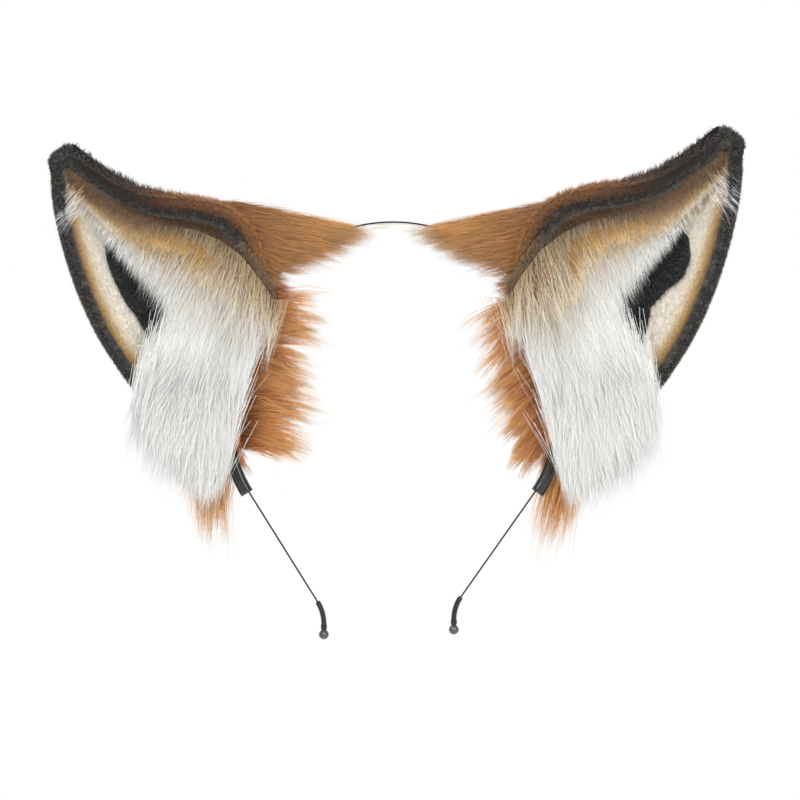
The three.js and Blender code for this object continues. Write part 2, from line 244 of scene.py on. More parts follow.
def on_band(side, along, outwards, across):
    """Points (x, y, z): along the band's line, outwards from it and across it to the back."""
    x, z = band_at(side, along, outwards)
    return np.stack(np.broadcast_arrays(x, across, z), -1)


def make_piece(name, points, faces, maps, material, side="right"):
    """A mesh object from points in millimetres. faces and maps are lists of arrays that go together:
    corners per face, and a place on the map per corner. The left side is the right side with x turned
    round, so its faces are turned round too."""
    points = np.reshape(points, (-1, 3)) * MM
    if side == "left":
        points = points * (-1, 1, 1)
        faces = [f[:, ::-1] for f in faces]
        maps = [m[:, ::-1] for m in maps]
    sizes = np.concatenate([np.full(len(f), f.shape[1]) for f in faces])
    corners = np.concatenate([f.ravel() for f in faces])
    mesh = bpy.data.meshes.new(name)
    mesh.vertices.add(len(points))
    mesh.vertices.foreach_set("co", points.ravel())
    mesh.loops.add(len(corners))
    mesh.loops.foreach_set("vertex_index", corners.astype(np.int32))
    mesh.polygons.add(len(sizes))
    mesh.polygons.foreach_set("loop_start", (np.cumsum(sizes) - sizes).astype(np.int32))
    mesh.polygons.foreach_set("use_smooth", np.ones(len(sizes), bool))
    mesh.update(calc_edges=True)
    layer = mesh.uv_layers.new(name="OFBake")
    layer.uv.foreach_set("vector", np.concatenate([m.reshape(-1, 2) for m in maps]).ravel())
    mesh.materials.append(material)
    made = bpy.data.objects.new(name, mesh)
    bpy.context.scene.collection.objects.link(made)
    return made


def squares(u, v, wide, high):
    """The corners of each square of a map, anticlockwise from (u, v), each wide by high."""
    corners = ((0, 0), (1, 0), (1, 1), (0, 1))
    return np.stack([np.stack([u + a * wide, v + b * high], 1) for a, b in corners], 1)


def rounded(angle, power, size):
    """One coordinate of a rounded rectangle of the given size: the cosine of the angle, with its
    amount raised to power, so that a lower power makes a squarer corner."""
    return np.sign(np.cos(angle)) * np.abs(np.cos(angle)) ** power * size / 2


def tube(rings):
    """A closed tube through rings (rows, points round, 3), each ring clockwise seen from the far end.
    A fan round its middle closes each end. The map is the tube laid flat, with two strips for the
    fans."""
    rows, count = rings.shape[:2]
    points = np.concatenate([rings.reshape(-1, 3), rings[[0, -1]].mean(1)])
    i, j = np.meshgrid(np.arange(rows - 1), np.arange(count), indexing="ij")
    i, j = i.ravel(), j.ravel()
    after = (j + 1) % count
    walls = np.stack([i * count + j, i * count + after, (i + 1) * count + after, (i + 1) * count + j], 1)
    wall_map = squares(j / count, 0.1 + 0.8 * i / (rows - 1), 1 / count, 0.8 / (rows - 1))
    k, next_k = np.arange(count), (np.arange(count) + 1) % count
    last = (rows - 1) * count
    near = np.stack([next_k, k, np.full(count, rows * count)], 1)
    far = np.stack([last + k, last + next_k, np.full(count, rows * count + 1)], 1)
    low, high = (np.stack([np.stack([(k + part) / count, 0 * k + level], 1) for part, level in fan], 1)
                 for fan in (((1, 0.09), (0, 0.09), (0.5, 0.01)), ((0, 0.91), (1, 0.91), (0.5, 0.99))))
    return points, [f[:, ::-1] for f in (walls, near, far)], [m[:, ::-1] for m in (wall_map, low, high)]


def band_strip(side, start, stop, rows):
    """A strip along the band's line: at each row a rounded rectangle, narrowed to the tongue's width
    over the last millimetres above the tip cover."""
    along = np.linspace(start, stop, rows)
    tapered = np.clip((along - LEG_END_AT + TONGUE_LENGTH) / TONGUE_TAPER, 0, 1)
    narrow = 1 - (1 - TONGUE_WIDTH / BAND_WIDTH) * tapered
    angle = np.linspace(0, 2 * np.pi, 16, endpoint=False)
    thick = rounded(angle, 0.45, BAND_THICKNESS)
    wide = rounded(angle - np.pi / 2, 0.25, BAND_WIDTH)
    return on_band(side, along[:, None], thick[None], narrow[:, None] * wide[None])


def node_tree(name):
    """A new material, its nodes and its Principled shader."""
    material = bpy.data.materials.new(name)
    material.use_nodes = True
    nodes = material.node_tree.nodes
    return material, nodes, nodes["Principled BSDF"]


def set_values(node, **values):
    """Sets a node's inputs by name, with _ for each space in a name, and gives the node back."""
    for name, value in values.items():
        node.inputs[name.replace("_", " ")].default_value = value
    return node


def colour_ramp(nodes, colours):
    """A colour ramp through pairs of a position and a colour."""
    ramp = nodes.new("ShaderNodeValToRGB")
    elements = ramp.color_ramp.elements
    while len(elements) < len(colours):
        elements.new(0.5)
    for element, (position, colour) in zip(elements, colours):
        element.position = position
        element.color = colour
    return ramp


def connect(tree, *runs):
    """Links nodes in runs of a node, its output, the next node's input and the next node."""
    for source, output, socket, target in runs:
        tree.links.new(source.outputs[output], target.inputs[socket])


def worked_material(name, dark, light, roughness, grain, depth, stretch=(1, 1, 1), metallic=0.0,
                    specular=0.5, coat=0.0, sheen=0.0):
    """A plain worked surface: a fine noise of the given grain, in repeats a metre, moves the colour
    between dark and light, the roughness a little, and the height by depth in metres."""
    material, nodes, shader = node_tree(name)
    place = nodes.new("ShaderNodeTexCoord")
    mapping = set_values(nodes.new("ShaderNodeMapping"), Scale=stretch)
    noise = set_values(nodes.new("ShaderNodeTexNoise"), Scale=grain, Detail=5.0)
    ramp = colour_ramp(nodes, [(0.32, dark), (0.68, light)])
    rough = set_values(nodes.new("ShaderNodeMapRange"), To_Min=roughness * 0.75,
                       To_Max=min(roughness * 1.25, 1.0))
    bump = set_values(nodes.new("ShaderNodeBump"), Distance=depth, Strength=0.6)
    connect(material.node_tree, (place, "Object", "Vector", mapping), (mapping, "Vector", "Vector", noise),
            (noise, "Fac", "Fac", ramp), (noise, "Fac", "Value", rough), (noise, "Fac", "Height", bump),
            (ramp, "Color", "Base Color", shader), (rough, "Result", "Roughness", shader),
            (bump, "Normal", "Normal", shader))
    set_values(shader, Metallic=metallic, Specular_IOR_Level=specular, Coat_Weight=coat, Sheen_Weight=sheen)
    return material


blued_steel = worked_material("blued_steel", linear(7, 7, 8), linear(17, 17, 19), 0.45, 900, 2e-5,
                              stretch=(1, 6, 1), specular=0.2)
SHOULDER_CUT_AT = (CROWN_END_AT + MOUTH_AT) / 2
CROWN_BEND, LEG_BEND = 5, 3


def bend_ends(side, distance, reach):
    """Where a bend in the band starts and ends, in metres: reach before and after a distance."""
    ends = (band_at(side, distance + step) for step in (-reach, reach))
    return {name: (SIDES[side] * x * MM, 0, z * MM) for name, (x, z) in zip(("start", "end"), ends)}


for side in SIDES:
    upper = make_piece(f"{side}_band_over_head", *tube(band_strip(side, 0, SHOULDER_CUT_AT, 60)),
                       blued_steel, side)
    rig.replaces(upper, "crown_band")
    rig.slot(upper, "band_steel")
    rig.blend(upper, "crown", f"{side}_shoulder", **bend_ends(side, CROWN_END_AT, CROWN_BEND))
    lower = make_piece(f"{side}_band_down_leg",
                       *tube(band_strip(side, SHOULDER_CUT_AT, LEG_END_AT + TONGUE_LENGTH, 90)),
                       blued_steel, side)
    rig.replaces(lower, f"{side}_shoulder_band", f"{side}_leg_band")
    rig.slot(lower, "band_steel")
    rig.blend(lower, f"{side}_shoulder", f"{side}_leg", **bend_ends(side, MOUTH_AT, LEG_BEND))

# ------------------------------------------------------------------ the crown pad
# A strip of clear silicone stuck under the crown, so that the steel doesn't press on the head. It is
# cast with a rounded underside and has a pale beige-grey tint.
PAD_THICKNESS = 2.1
PAD_GLUE = 0.3
PAD_OFFSET = -(BAND_THICKNESS + PAD_THICKNESS) / 2 - PAD_GLUE

clear_silicone = worked_material("clear_silicone", linear(206, 202, 190), linear(232, 229, 220), 0.3, 260,
                                 5e-5, specular=0.5, coat=0.2)
set_values(clear_silicone.node_tree.nodes["Principled BSDF"], Transmission_Weight=0.45, IOR=1.41)
pad_along = np.linspace(-CROWN_END_AT + 1, CROWN_END_AT - 1, 49)
pad_end = np.sqrt(np.clip(1 - (np.abs(pad_along) / (CROWN_END_AT - 0.9)) ** 10, 0.02, 1))
pad_angle = np.linspace(0, 2 * np.pi, 24, endpoint=False)
pad_out = rounded(pad_angle, 0.6, PAD_THICKNESS)
pad_wide = rounded(pad_angle - np.pi / 2, 0.4, BAND_WIDTH)
pad_radius = ARCH_RADIUS + PAD_OFFSET + pad_out[None] * pad_end[:, None]
pad_turn = pad_along[:, None] / ARCH_RADIUS
pad_points = np.stack([pad_radius * np.sin(pad_turn), pad_wide[None] * pad_end[:, None],
                       pad_radius * np.cos(pad_turn) - ARCH_RADIUS + CROWN_Z], -1)
pad = make_piece("crown_pad_strip", *tube(pad_points), clear_silicone)
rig.replaces(pad, "crown_pad")
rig.slot(pad, "clear_pad")
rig.ride(pad, "crown")
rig.padded(pad, fill=1.0)

# ------------------------------------------------------------------ the covered tips
# Each leg ends in a dipped rubber cover, flat like the strip and glossy, that turns back to upright.
# Its neck runs into a smoky acrylic ball, which keeps the tip from scratching.
BALL_RADIUS = 1.95


def turned(side, radius, along, flat=1.0):
    """A turned piece along the band's line: rings of the given radii at the given distances, pressed
    flatter by flat across the band's thickness."""
    angle = np.linspace(0, 2 * np.pi, 28, endpoint=False)
    out = radius[:, None] * np.cos(angle) * np.reshape(flat * np.ones(len(radius)), (-1, 1))
    return on_band(side, along[:, None], out, radius[:, None] * np.sin(angle))


dipped_rubber = worked_material("dipped_rubber", linear(10, 10, 11), linear(22, 22, 24), 0.3, 300, 4e-5,
                                specular=0.4)
smoky_acrylic = worked_material("smoky_acrylic", linear(44, 46, 48), linear(84, 86, 88), 0.1, 500, 1e-5,
                                specular=0.6, coat=0.5)
set_values(smoky_acrylic.node_tree.nodes["Principled BSDF"], Transmission_Weight=0.35)
cover_end = BALL_AT - LEG_END_AT
cover_along = np.concatenate([[0, 0.15, 0.4, 0.9], np.linspace(1.6, cover_end - 3.6, 18),
                              np.linspace(cover_end - 3.2, cover_end - 1.7, 5), [cover_end + 0.7]])
cover_radius = np.interp(cover_along, [0, 0.15, 0.4, 0.9, cover_end - 3.6, cover_end - 2.2, cover_end - 1.8,
                                       cover_end + 0.7], [1.3, 1.6, 1.76, 1.85, 1.85, 1.25, 0.95, 0.95])
cover_flat = 0.56 + 0.44 * np.clip((cover_along - cover_end + 4) / 2.2, 0, 1)
ball_turn = np.linspace(-1.45, 1.5, 18)
for side in SIDES:
    cover = make_piece(f"{side}_dipped_cover",
                       *tube(turned(side, cover_radius, LEG_END_AT + cover_along, cover_flat)),
                       dipped_rubber, side)
    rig.replaces(cover, f"{side}_tip_cover")
    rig.slot(cover, "tip_rubber")
    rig.ride(cover, f"{side}_leg")
    ball = make_piece(f"{side}_end_ball",
                      *tube(turned(side, BALL_RADIUS * np.cos(ball_turn),
                                   BALL_AT + BALL_RADIUS * np.sin(ball_turn))), smoky_acrylic, side)
    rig.replaces(ball, f"{side}_tip_ball")
    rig.slot(ball, "smoke_ball")
    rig.ride(ball, f"{side}_leg")

# ------------------------------------------------------------------ heat-shrink sleeves
# Two lengths of glossy black heat-shrink tube a side hold the soft iron wire against the band. Shrunk
# over the wire and the flat strip, the tube takes a lengthwise crease between them.
SLEEVE_LENGTH = 17
SLEEVE_AT = MOUTH_AT - SLEEVE_LENGTH
SLEEVE_SHIFT = 0.85
SLEEVE_BORE = 2.05
SLEEVE_FLARE = 0.2
SLEEVE_WALL = 0.35
UPPER_SLEEVE_LENGTH = 9
UPPER_SLEEVE_AT = BASE_TOP_AT - 12
CREASE_DEPTH = 0.12
CREASE_WIDTH = 0.3


def sleeve(side, start, length):
    """A tube wall along the band's line. Its radius widens to the mouth, and dips at two creases, on
    the front and the back, each a bell curve of the angle. Its profile is the outside and then the
    inside, closed round both rims."""
    angle = np.linspace(0, 2 * np.pi, 36, endpoint=False)
    share = np.linspace(0, 1, 15)
    off_crease = np.minimum(*(np.abs(np.angle(np.exp(1j * (angle - at)))) for at in (np.pi / 2, -np.pi / 2)))
    crease = 1 - CREASE_DEPTH * np.exp(-((off_crease / CREASE_WIDTH) ** 2))
    ripple = 1 + 0.012 * np.sin(share * 31)[:, None] * np.cos(3 * angle)[None]
    inner = (SLEEVE_BORE + SLEEVE_FLARE * share)[:, None] * (0.5 + 0.5 * crease)[None]
    outer = (SLEEVE_BORE + SLEEVE_FLARE * share + SLEEVE_WALL)[:, None] * crease[None] * ripple
    along = start + share[:, None] * length
    walls = [on_band(side, along, SLEEVE_SHIFT + radius * np.cos(angle), radius * np.sin(angle))
             for radius in (outer, inner)]
    rings = np.concatenate([walls[0], walls[1][::-1], walls[0][:1]])
    rows, count = len(rings) - 1, len(angle)
    i, j = (a.ravel() for a in np.meshgrid(np.arange(rows), np.arange(count), indexing="ij"))
    after, below = (j + 1) % count, (i + 1) % rows
    faces = np.stack([i * count + j, below * count + j, below * count + after, i * count + after], 1)
    return rings[:-1], [faces], [squares(i, j, 1, 1)[..., ::-1] / (count, rows)]


shrink_tube = worked_material("shrink_tube", linear(8, 8, 9), linear(18, 18, 20), 0.2, 420, 6e-5,
                              specular=0.5, coat=0.3)
for side in SIDES:
    for place, start, length in (("lower", SLEEVE_AT, SLEEVE_LENGTH),
                                 ("upper", UPPER_SLEEVE_AT, UPPER_SLEEVE_LENGTH)):
        shrunk = make_piece(f"{side}_{place}_shrink_tube", *sleeve(side, start, length), shrink_tube, side)
        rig.replaces(shrunk, f"{side}_{place}_sleeve")
        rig.slot(shrunk, "shrink_tube")
        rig.ride(shrunk, f"{side}_shoulder")

# ------------------------------------------------------------------ wire and felt inside the base
# Soft black iron wire lies along the band under each ear, and another is sewn into the ear's edge.
# A strip of rust-brown needle felt is glued over the base wire: the ear's base is stitched to it.
soft_iron = worked_material("soft_iron", linear(70, 71, 73), linear(112, 112, 114), 0.5, 700, 2e-5,
                            metallic=0.9)
brown_felt = worked_material("brown_felt", linear(96, 48, 20), linear(150, 84, 38), 0.95, 1500, 3e-4,
                             specular=0.2, sheen=0.3)
FELT_OFFSET = 2.9
FELT_THICKNESS = 0.84
FELT_WIDTH = 7.8
for side in SIDES:
    for node in (f"{side}_base_wire", f"{side}_ear_frame_wire"):
        frame["nodes"][node].data.materials.clear()
        frame["nodes"][node].data.materials.append(soft_iron)
    along = np.linspace(BASE_TOP_AT + 2, SLEEVE_AT - 0.5, 70)
    angle = np.linspace(0, 2 * np.pi, 20, endpoint=False)
    uneven = 1 + 0.06 * np.sin(along * 1.9)[:, None] * np.sin(2 * angle + 1)[None]
    out = FELT_OFFSET + np.cos(angle) * FELT_THICKNESS / 2
    wide = rounded(angle - np.pi / 2, 0.3, FELT_WIDTH) * uneven
    felt = make_piece(f"{side}_felt_binding", *tube(on_band(side, along[:, None], out[None], wide)),
                      brown_felt, side)
    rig.replaces(felt, f"{side}_base_binding")
    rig.slot(felt, "felt")
    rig.ride(felt, f"{side}_shoulder")
    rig.padded(felt, fill=1.0)

# ------------------------------------------------------------------ the ear's foam blade
# A sheet of dark foam, cut to the ear's outline and cupped, stiffens each ear between its front and
# back pelts. The frame wire runs just outside its edge.
EAR_OUTER = np.array([[68.8, -79], [80, -75.5], [90.5, -69], [99.5, -60], [108.5, -47.5], [115.5, -35.5],
                      [122, -20.5], [127, -5], [130.6, 11], [131.8, 26]])
EAR_UPPER = np.array([[53, -17.5], [54.6, -9], [58.5, -0.5], [65.5, 5.5], [76, 8.6], [88, 10], [100, 12.8],
                      [110.5, 18.2], [119.5, 24.5], [127.5, 31.5]])
BASE_OFFSET = 6.4
BASE_START = 0.015
CUP_DEPTH = 25
RIM_BASE_Y, RIM_TIP_Y = -10, -2
FOLD_RISE = 7
TIP_ROUND = 3
EAR_PIVOT = np.array([62, 0, -48])
EAR_SCALE = {"left": 0.965, "right": 1.03}
EAR_LIFT = {"left": -0.6, "right": 0.8}
EAR_LENGTH = 128
MOST_INSET = 0.45
FOAM_HALF = 0.8
FOAM_INSETS = (3.4, 3.4, 12)  # from the outer edge, the upper edge and the tip
BLADE_ROWS, BLADE_COLUMNS = 44, 30


def curve_through(points, share):
    """A smooth curve through points (Catmull-Rom), at a share of its whole length from 0 to 1."""

    def at(t):
        """The curve's point at t, which runs evenly from one given point to the next."""
        place = np.clip(t, 0, 1) * (len(points) - 1)
        i = np.minimum(np.floor(place).astype(int), len(points) - 2)
        w = (place - i)[..., None]
        before, here = points[np.maximum(i - 1, 0)], points[i]
        there, beyond = points[i + 1], points[np.minimum(i + 2, len(points) - 1)]
        leave, arrive = (there - before) / 2, (beyond - here) / 2
        return ((2 * here - 2 * there + leave + arrive) * w**3
                + (3 * there - 3 * here - 2 * leave - arrive) * w**2 + leave * w + here)

    steps = np.linspace(0, 1, 201)
    walked = np.concatenate([[0], np.cumsum(np.linalg.norm(np.diff(at(steps), axis=0), axis=1))])
    return at(np.interp(np.clip(share, 0, 1) * walked[-1], walked, steps))


def ear_width(s):
    """The width of the ear between its two edges, s of the way from its base to its tip."""
    return np.linalg.norm(curve_through(EAR_UPPER, s) - curve_through(EAR_OUTER, s), axis=-1)


def ear_surface(s, t):
    """The ear's middle surface. s runs from the base to the tip and t from the outer edge over the
    bottom of the cup to the upper rim: a straight line between the edges, bent onto the band at the
    base, rolled up behind the upper rim, rounded at the tip, and sunk to the back by the cup's depth."""
    s, t = np.broadcast_arrays(np.asarray(s, float), np.asarray(t, float))
    outer, upper = curve_through(EAR_OUTER, s), curve_through(EAR_UPPER, s)
    across = upper - outer
    width = np.linalg.norm(across, axis=-1)
    beyond = np.stack([across[..., 1], -across[..., 0]], -1) / width[..., None]
    roll = FOLD_RISE * np.sin(np.pi * t**5) * np.sin(np.pi * (0.15 + 0.7 * s))
    flat = outer + across * (t + roll / width)[..., None]
    flat = flat + beyond * (TIP_ROUND * s**12 * 4 * t * (1 - t))[..., None]
    base = np.stack(band_at("right", BASE_LOW_AT + (BASE_TOP_AT - BASE_LOW_AT) * t, BASE_OFFSET), -1)
    straight = BASE_LOW_AT + (BASE_TOP_AT - BASE_LOW_AT) * t - ARCH_LENGTH
    low = straight > 0
    base[low] = np.stack([ARCH_RADIUS + BASE_OFFSET + 0 * straight,
                          CROWN_Z - ARCH_RADIUS - straight], -1)[low]
    chord = EAR_OUTER[0] * (1 - t)[..., None] + EAR_UPPER[0] * t[..., None]
    flat = flat + (base - chord) * ((1 - s) ** 3)[..., None]
    depth = CUP_DEPTH * (1 - s) ** 0.6 * np.sin(np.pi * t**1.4) ** 0.8
    return np.stack([flat[..., 0], RIM_BASE_Y + (RIM_TIP_Y - RIM_BASE_Y) * s + depth, flat[..., 1]], -1)


def ear_facing(s, t, step=0.01):
    """A vector square to the ear's surface, towards the front, as long as the surface is stretched
    there: the cross product of a small step along it and one across it."""
    along = ear_surface(np.minimum(s + step, 1), t) - ear_surface(np.maximum(s - step, 0), t)
    across = ear_surface(s, np.minimum(t + step, 1)) - ear_surface(s, np.maximum(t - step, 0))
    return np.cross(along, across)


def ear_layer(s, t, offset):
    """The surface moved into the cup, towards the front, by offset, and the direction it moved in."""
    normal = ear_facing(s, t)
    normal = normal / np.linalg.norm(normal, axis=-1, keepdims=True)
    return ear_surface(s, t) + normal * np.asarray(offset)[..., None], normal


def place_ear(points, side):
    """Ear points scaled about the pivot and lifted by a small turn about it."""
    lift = np.radians(EAR_LIFT[side])
    x, y, z = np.moveaxis((points - EAR_PIVOT) * EAR_SCALE[side], -1, 0)
    lifted = (x * np.cos(lift) - z * np.sin(lift), y, x * np.sin(lift) + z * np.cos(lift))
    return np.stack(lifted, -1) + EAR_PIVOT


def shell(front, back):
    """A closed shell between two grids of points (rows, columns, 3). Rows and columns turn so that the
    front grid's faces look out. The map holds the front on its left half and the back on its right,
    with the walls in a strip below."""
    rows, columns = front.shape[:2]
    points = np.concatenate([front.reshape(-1, 3), back.reshape(-1, 3)])
    i, j = (a.ravel() for a in np.meshgrid(np.arange(rows - 1), np.arange(columns - 1), indexing="ij"))
    quad = (i * columns + j)[:, None] + (0, columns, columns + 1, 1)
    place = squares(i, j, 1, 1) / (rows - 1, columns - 1)
    front_map = place * (0.48, 0.88) + (0.01, 0.11)
    back_map = place[:, ::-1] * (0.48, 0.88) + (0.51, 0.11)
    rim = np.concatenate([np.arange(columns - 1), (np.arange(rows - 1) + 1) * columns - 1,
                          rows * columns - 1 - np.arange(columns - 1),
                          (rows - 1 - np.arange(rows - 1)) * columns])
    after = np.roll(rim, -1)
    other = rows * columns
    wall = np.stack([rim, after, after + other, rim + other], 1)
    k = np.arange(len(rim)) / len(rim)
    wall_map = squares(k, 0 * k + 0.09, 1 / len(rim), -0.08)
    return points, [quad, quad[:, ::-1] + other, wall], [front_map, back_map, wall_map]


def ear_shell(side, s, t, front, back):
    """A closed layer of the ear over a grid of places (s, t), between two offsets."""
    return shell(*(place_ear(ear_layer(s, t, offset)[0], side) for offset in (front, back)))


def ear_blade(side, low, high, insets, taper=0.0):
    """A layer of the whole ear between two offsets, low behind and high in front, which both shrink by
    taper from the base to the tip. The insets hold it back from the outer edge, the upper edge and the
    tip."""
    outer_inset, upper_inset, tip_inset = insets
    s = np.linspace(BASE_START, 1 - tip_inset / EAR_LENGTH, BLADE_ROWS)[:, None]
    edge, upper_edge = (np.minimum(inset / ear_width(s), MOST_INSET) for inset in (outer_inset, upper_inset))
    t = edge + (1 - edge - upper_edge) * np.linspace(0, 1, BLADE_COLUMNS)[None]
    s = s + 0 * t
    return ear_shell(side, s, t, high * (1 - taper * s), low * (1 - taper * s))


open_foam = worked_material("open_foam", linear(30, 30, 31), linear(58, 58, 60), 0.95, 2200, 3e-4,
                            specular=0.2)
for side in SIDES:
    blade = make_piece(f"{side}_foam_blade",
                       *ear_blade(side, -FOAM_HALF, FOAM_HALF, FOAM_INSETS, taper=0.4), open_foam, side)
    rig.replaces(blade, f"{side}_ear_foam_core")
    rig.slot(blade, "foam")
    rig.ride(blade, f"{side}_ear")
    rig.padded(blade, fill=1.0)

# ------------------------------------------------------------------ the ear's back pelt
# Short faux fur with a knitted backing covers the back of each ear and turns over its edge. It is
# airbrushed black at the tip, dark brown below that, and is left rust orange near the base.
BACK_SKIN = -2.1
BACK_BACKING = 1.5
BACK_INSETS = (2.6, 0.6, 1.2)
# Hairs come in pieces, each with its reach across the ear and its count. A length or a width is a
# pair, the least and the most. A width is half of the hair's thickness at its root.
BACK_HAIRS = (((0.005, 0.55), 11000), ((0.55, 0.995), 13000))
BACK_HAIR_LENGTH = (3.2, 5.6)
BACK_HAIR_WIDTH = (0.13, 0.2)
TRIES = 8
FUR_COLOURS = [
    (0.00, linear(26, 25, 26)), (0.10, linear(50, 39, 32)), (0.20, linear(94, 65, 42)),
    (0.32, linear(152, 102, 54)), (0.44, linear(194, 144, 80)), (0.56, linear(210, 174, 118)),
    (0.68, linear(228, 207, 164)), (0.80, linear(238, 229, 208)), (0.92, linear(245, 243, 238)),
    (1.00, linear(247, 247, 245)),
]


def fur_material(name, colours, tones=(0.72, 1.18), roughness=0.62, sheen=0.25, specular=0.35):
    """Dyed hair. The map's first number picks the colour on a ramp, and its second the hair's own
    lightness between the two tones. The roughness follows the same number."""
    material, nodes, shader = node_tree(name)
    place = nodes.new("ShaderNodeUVMap")
    place.uv_map = "OFBake"
    split = nodes.new("ShaderNodeSeparateXYZ")
    ramp = colour_ramp(nodes, colours)
    tone = set_values(nodes.new("ShaderNodeMapRange"), To_Min=tones[0], To_Max=tones[1])
    shine = set_values(nodes.new("ShaderNodeMapRange"), To_Min=roughness * 1.2, To_Max=roughness * 0.8)
    value = nodes.new("ShaderNodeHueSaturation")
    connect(material.node_tree, (place, "UV", "Vector", split), (split, "X", "Fac", ramp),
            (split, "Y", "Value", tone), (split, "Y", "Value", shine), (ramp, "Color", "Color", value),
            (tone, "Result", "Value", value), (value, "Color", "Base Color", shader),
            (shine, "Result", "Roughness", shader))
    set_values(shader, Specular_IOR_Level=specular, Sheen_Weight=sheen)
    return material


def pelt_material(name, colours, streaks=(0.55, 1.0)):
    """The fur's own floor, seen between the hairs. The piece's shade attribute picks the colour on the
    same ramp, a stretched noise streaks it, and a bump stands for the roots."""
    material, nodes, shader = node_tree(name)
    shade = nodes.new("ShaderNodeAttribute")
    shade.attribute_name = "shade"
    place = nodes.new("ShaderNodeTexCoord")
    mapping = set_values(nodes.new("ShaderNodeMapping"), Scale=(1, 1, 0.25))
    noise = set_values(nodes.new("ShaderNodeTexNoise"), Scale=1600, Detail=4.0)
    streak = set_values(nodes.new("ShaderNodeMapRange"), From_Min=0.3, From_Max=0.7, To_Min=streaks[0],
                        To_Max=streaks[1])
    ramp = colour_ramp(nodes, colours)
    value = nodes.new("ShaderNodeHueSaturation")
    bump = set_values(nodes.new("ShaderNodeBump"), Distance=3e-4)
    connect(material.node_tree, (place, "Object", "Vector", mapping), (mapping, "Vector", "Vector", noise),
            (noise, "Fac", "Value", streak), (shade, "Fac", "Fac", ramp), (ramp, "Color", "Color", value),
            (streak, "Result", "Value", value), (value, "Color", "Base Color", shader),
            (noise, "Fac", "Height", bump), (bump, "Normal", "Normal", shader))
    set_values(shader, Roughness=0.9, Specular_IOR_Level=0.15)
    return material


def give_shade(piece, values):
    """Keeps each point's place on the colour ramp as the piece's shade attribute. A front face's
    values are repeated on its back, and a single value goes everywhere."""
    attribute = piece.data.attributes.new("shade", "FLOAT", "POINT")
    values = np.resize(np.clip(values, 0, 1).astype(np.float32), len(piece.data.vertices))
    attribute.data.foreach_set("value", values)


def seeded(side, number):
    """A fresh row of random numbers, the same in each run, with one number for the right side's piece
    and the next for the left's."""
    return np.random.default_rng(number if side == "right" else number + 1)


def unit(vectors):
    """Vectors of length one."""
    return vectors / np.maximum(np.linalg.norm(vectors, axis=-1, keepdims=True), 1e-9)


def mottle(rng, points, size, waves=24):
    """A soft random number from 0 to 1 at each point, in blotches of the given size: the mean of many
    sine waves in random directions, steepened."""
    directions = rng.normal(size=(waves, 3)) / size * 2.6
    phases = rng.uniform(0, 2 * np.pi, waves)
    return 0.5 + 0.5 * np.tanh(np.sin(points @ directions.T + phases).sum(-1) / 3.4)


def hairs(rng, roots, start, end, length, width, shade, tone, segments=1, clump=0.0, per_clump=14,
          wave=0.0):
    """Closed three-sided hairs that taper to a point. A hair's line is root + length (start t +
    (end - start) t^2 / 2) for t from 0 to 1, drawn by clump towards the end of the nearest leading
    hair, and swayed a little by wave. shade holds each hair's two places on the colour ramp."""
    count = len(roots)
    t = np.linspace(0, 1, segments + 1)
    line = roots[:, None] + length[:, None, None] * (
        start[:, None] * t[:, None] + (end - start)[:, None] * t[:, None] ** 2 / 2)
    if clump:
        leaders = rng.choice(count, max(count // per_clump, 1), replace=False)
        middle = roots + length[:, None] * start * 0.5
        nearest = np.concatenate([
            ((part[:, None] - middle[leaders][None]) ** 2).sum(-1).argmin(1)
            for part in np.array_split(middle, count // 2000 + 1)])
        tip = line[leaders][nearest][:, -1]
        line = line + (tip - line[:, -1])[:, None] * (clump * t[:, None] ** 2)
    if wave:
        sway = unit(rng.normal(size=(count, 3)))[:, None] * np.sin(t * np.pi * 1.5)[:, None]
        line = line + sway * (wave * length)[:, None, None]
    heading = unit(np.gradient(line, axis=1))
    spare = unit(rng.normal(size=(count, 1, 3)))
    first = unit(np.cross(heading, spare))
    second = np.cross(heading, first)
    radius = width[:, None] * np.clip(1 - t[:-1], 0, 1) ** 0.7
    turn = 2 * np.pi * np.arange(3) / 3
    rings = line[:, :-1, None] + radius[:, :, None, None] * (
        np.cos(turn)[:, None] * first[:, :-1, None] + np.sin(turn)[:, None] * second[:, :-1, None])
    points = np.concatenate([rings.reshape(count, -1, 3), line[:, -1:]], 1)
    faces, rows, lanes = [], [], []
    for i in range(segments - 1):
        for k in range(3):
            a, b, c, d = 3 * i + k, 3 * i + (k + 1) % 3, 3 * i + 3 + (k + 1) % 3, 3 * i + 3 + k
            faces += [(a, b, c), (a, c, d)]
            rows += [(i, i, i + 1), (i, i + 1, i + 1)]
            lanes += [(k, k + 1, k + 1), (k, k + 1, k)]
    for k in range(3):
        faces.append((3 * segments - 3 + k, 3 * segments - 3 + (k + 1) % 3, 3 * segments))
        rows.append((segments - 1, segments - 1, segments))
        lanes.append((k, k + 1, k + 0.5))
    faces.append((0, 2, 1))
    rows.append((0, 0, 0.3))
    lanes.append((0, 2, 1))
    faces, rows, lanes = np.array(faces), np.array(rows) / segments, np.array(lanes) / 3
    every = np.arange(count)[:, None, None] * (3 * segments + 1) + faces
    along = shade[:, :1, None] + (shade[:, 1:, None] - shade[:, :1, None] + 0.012) * rows
    across = 0.02 + 0.94 * tone[:, None, None] + 0.015 * lanes + 0 * along
    places = np.clip(np.stack([along, across], -1), 0.001, 0.999)
    return points.reshape(-1, 3), [every.reshape(-1, 3)], [places.reshape(-1, 3, 2)]


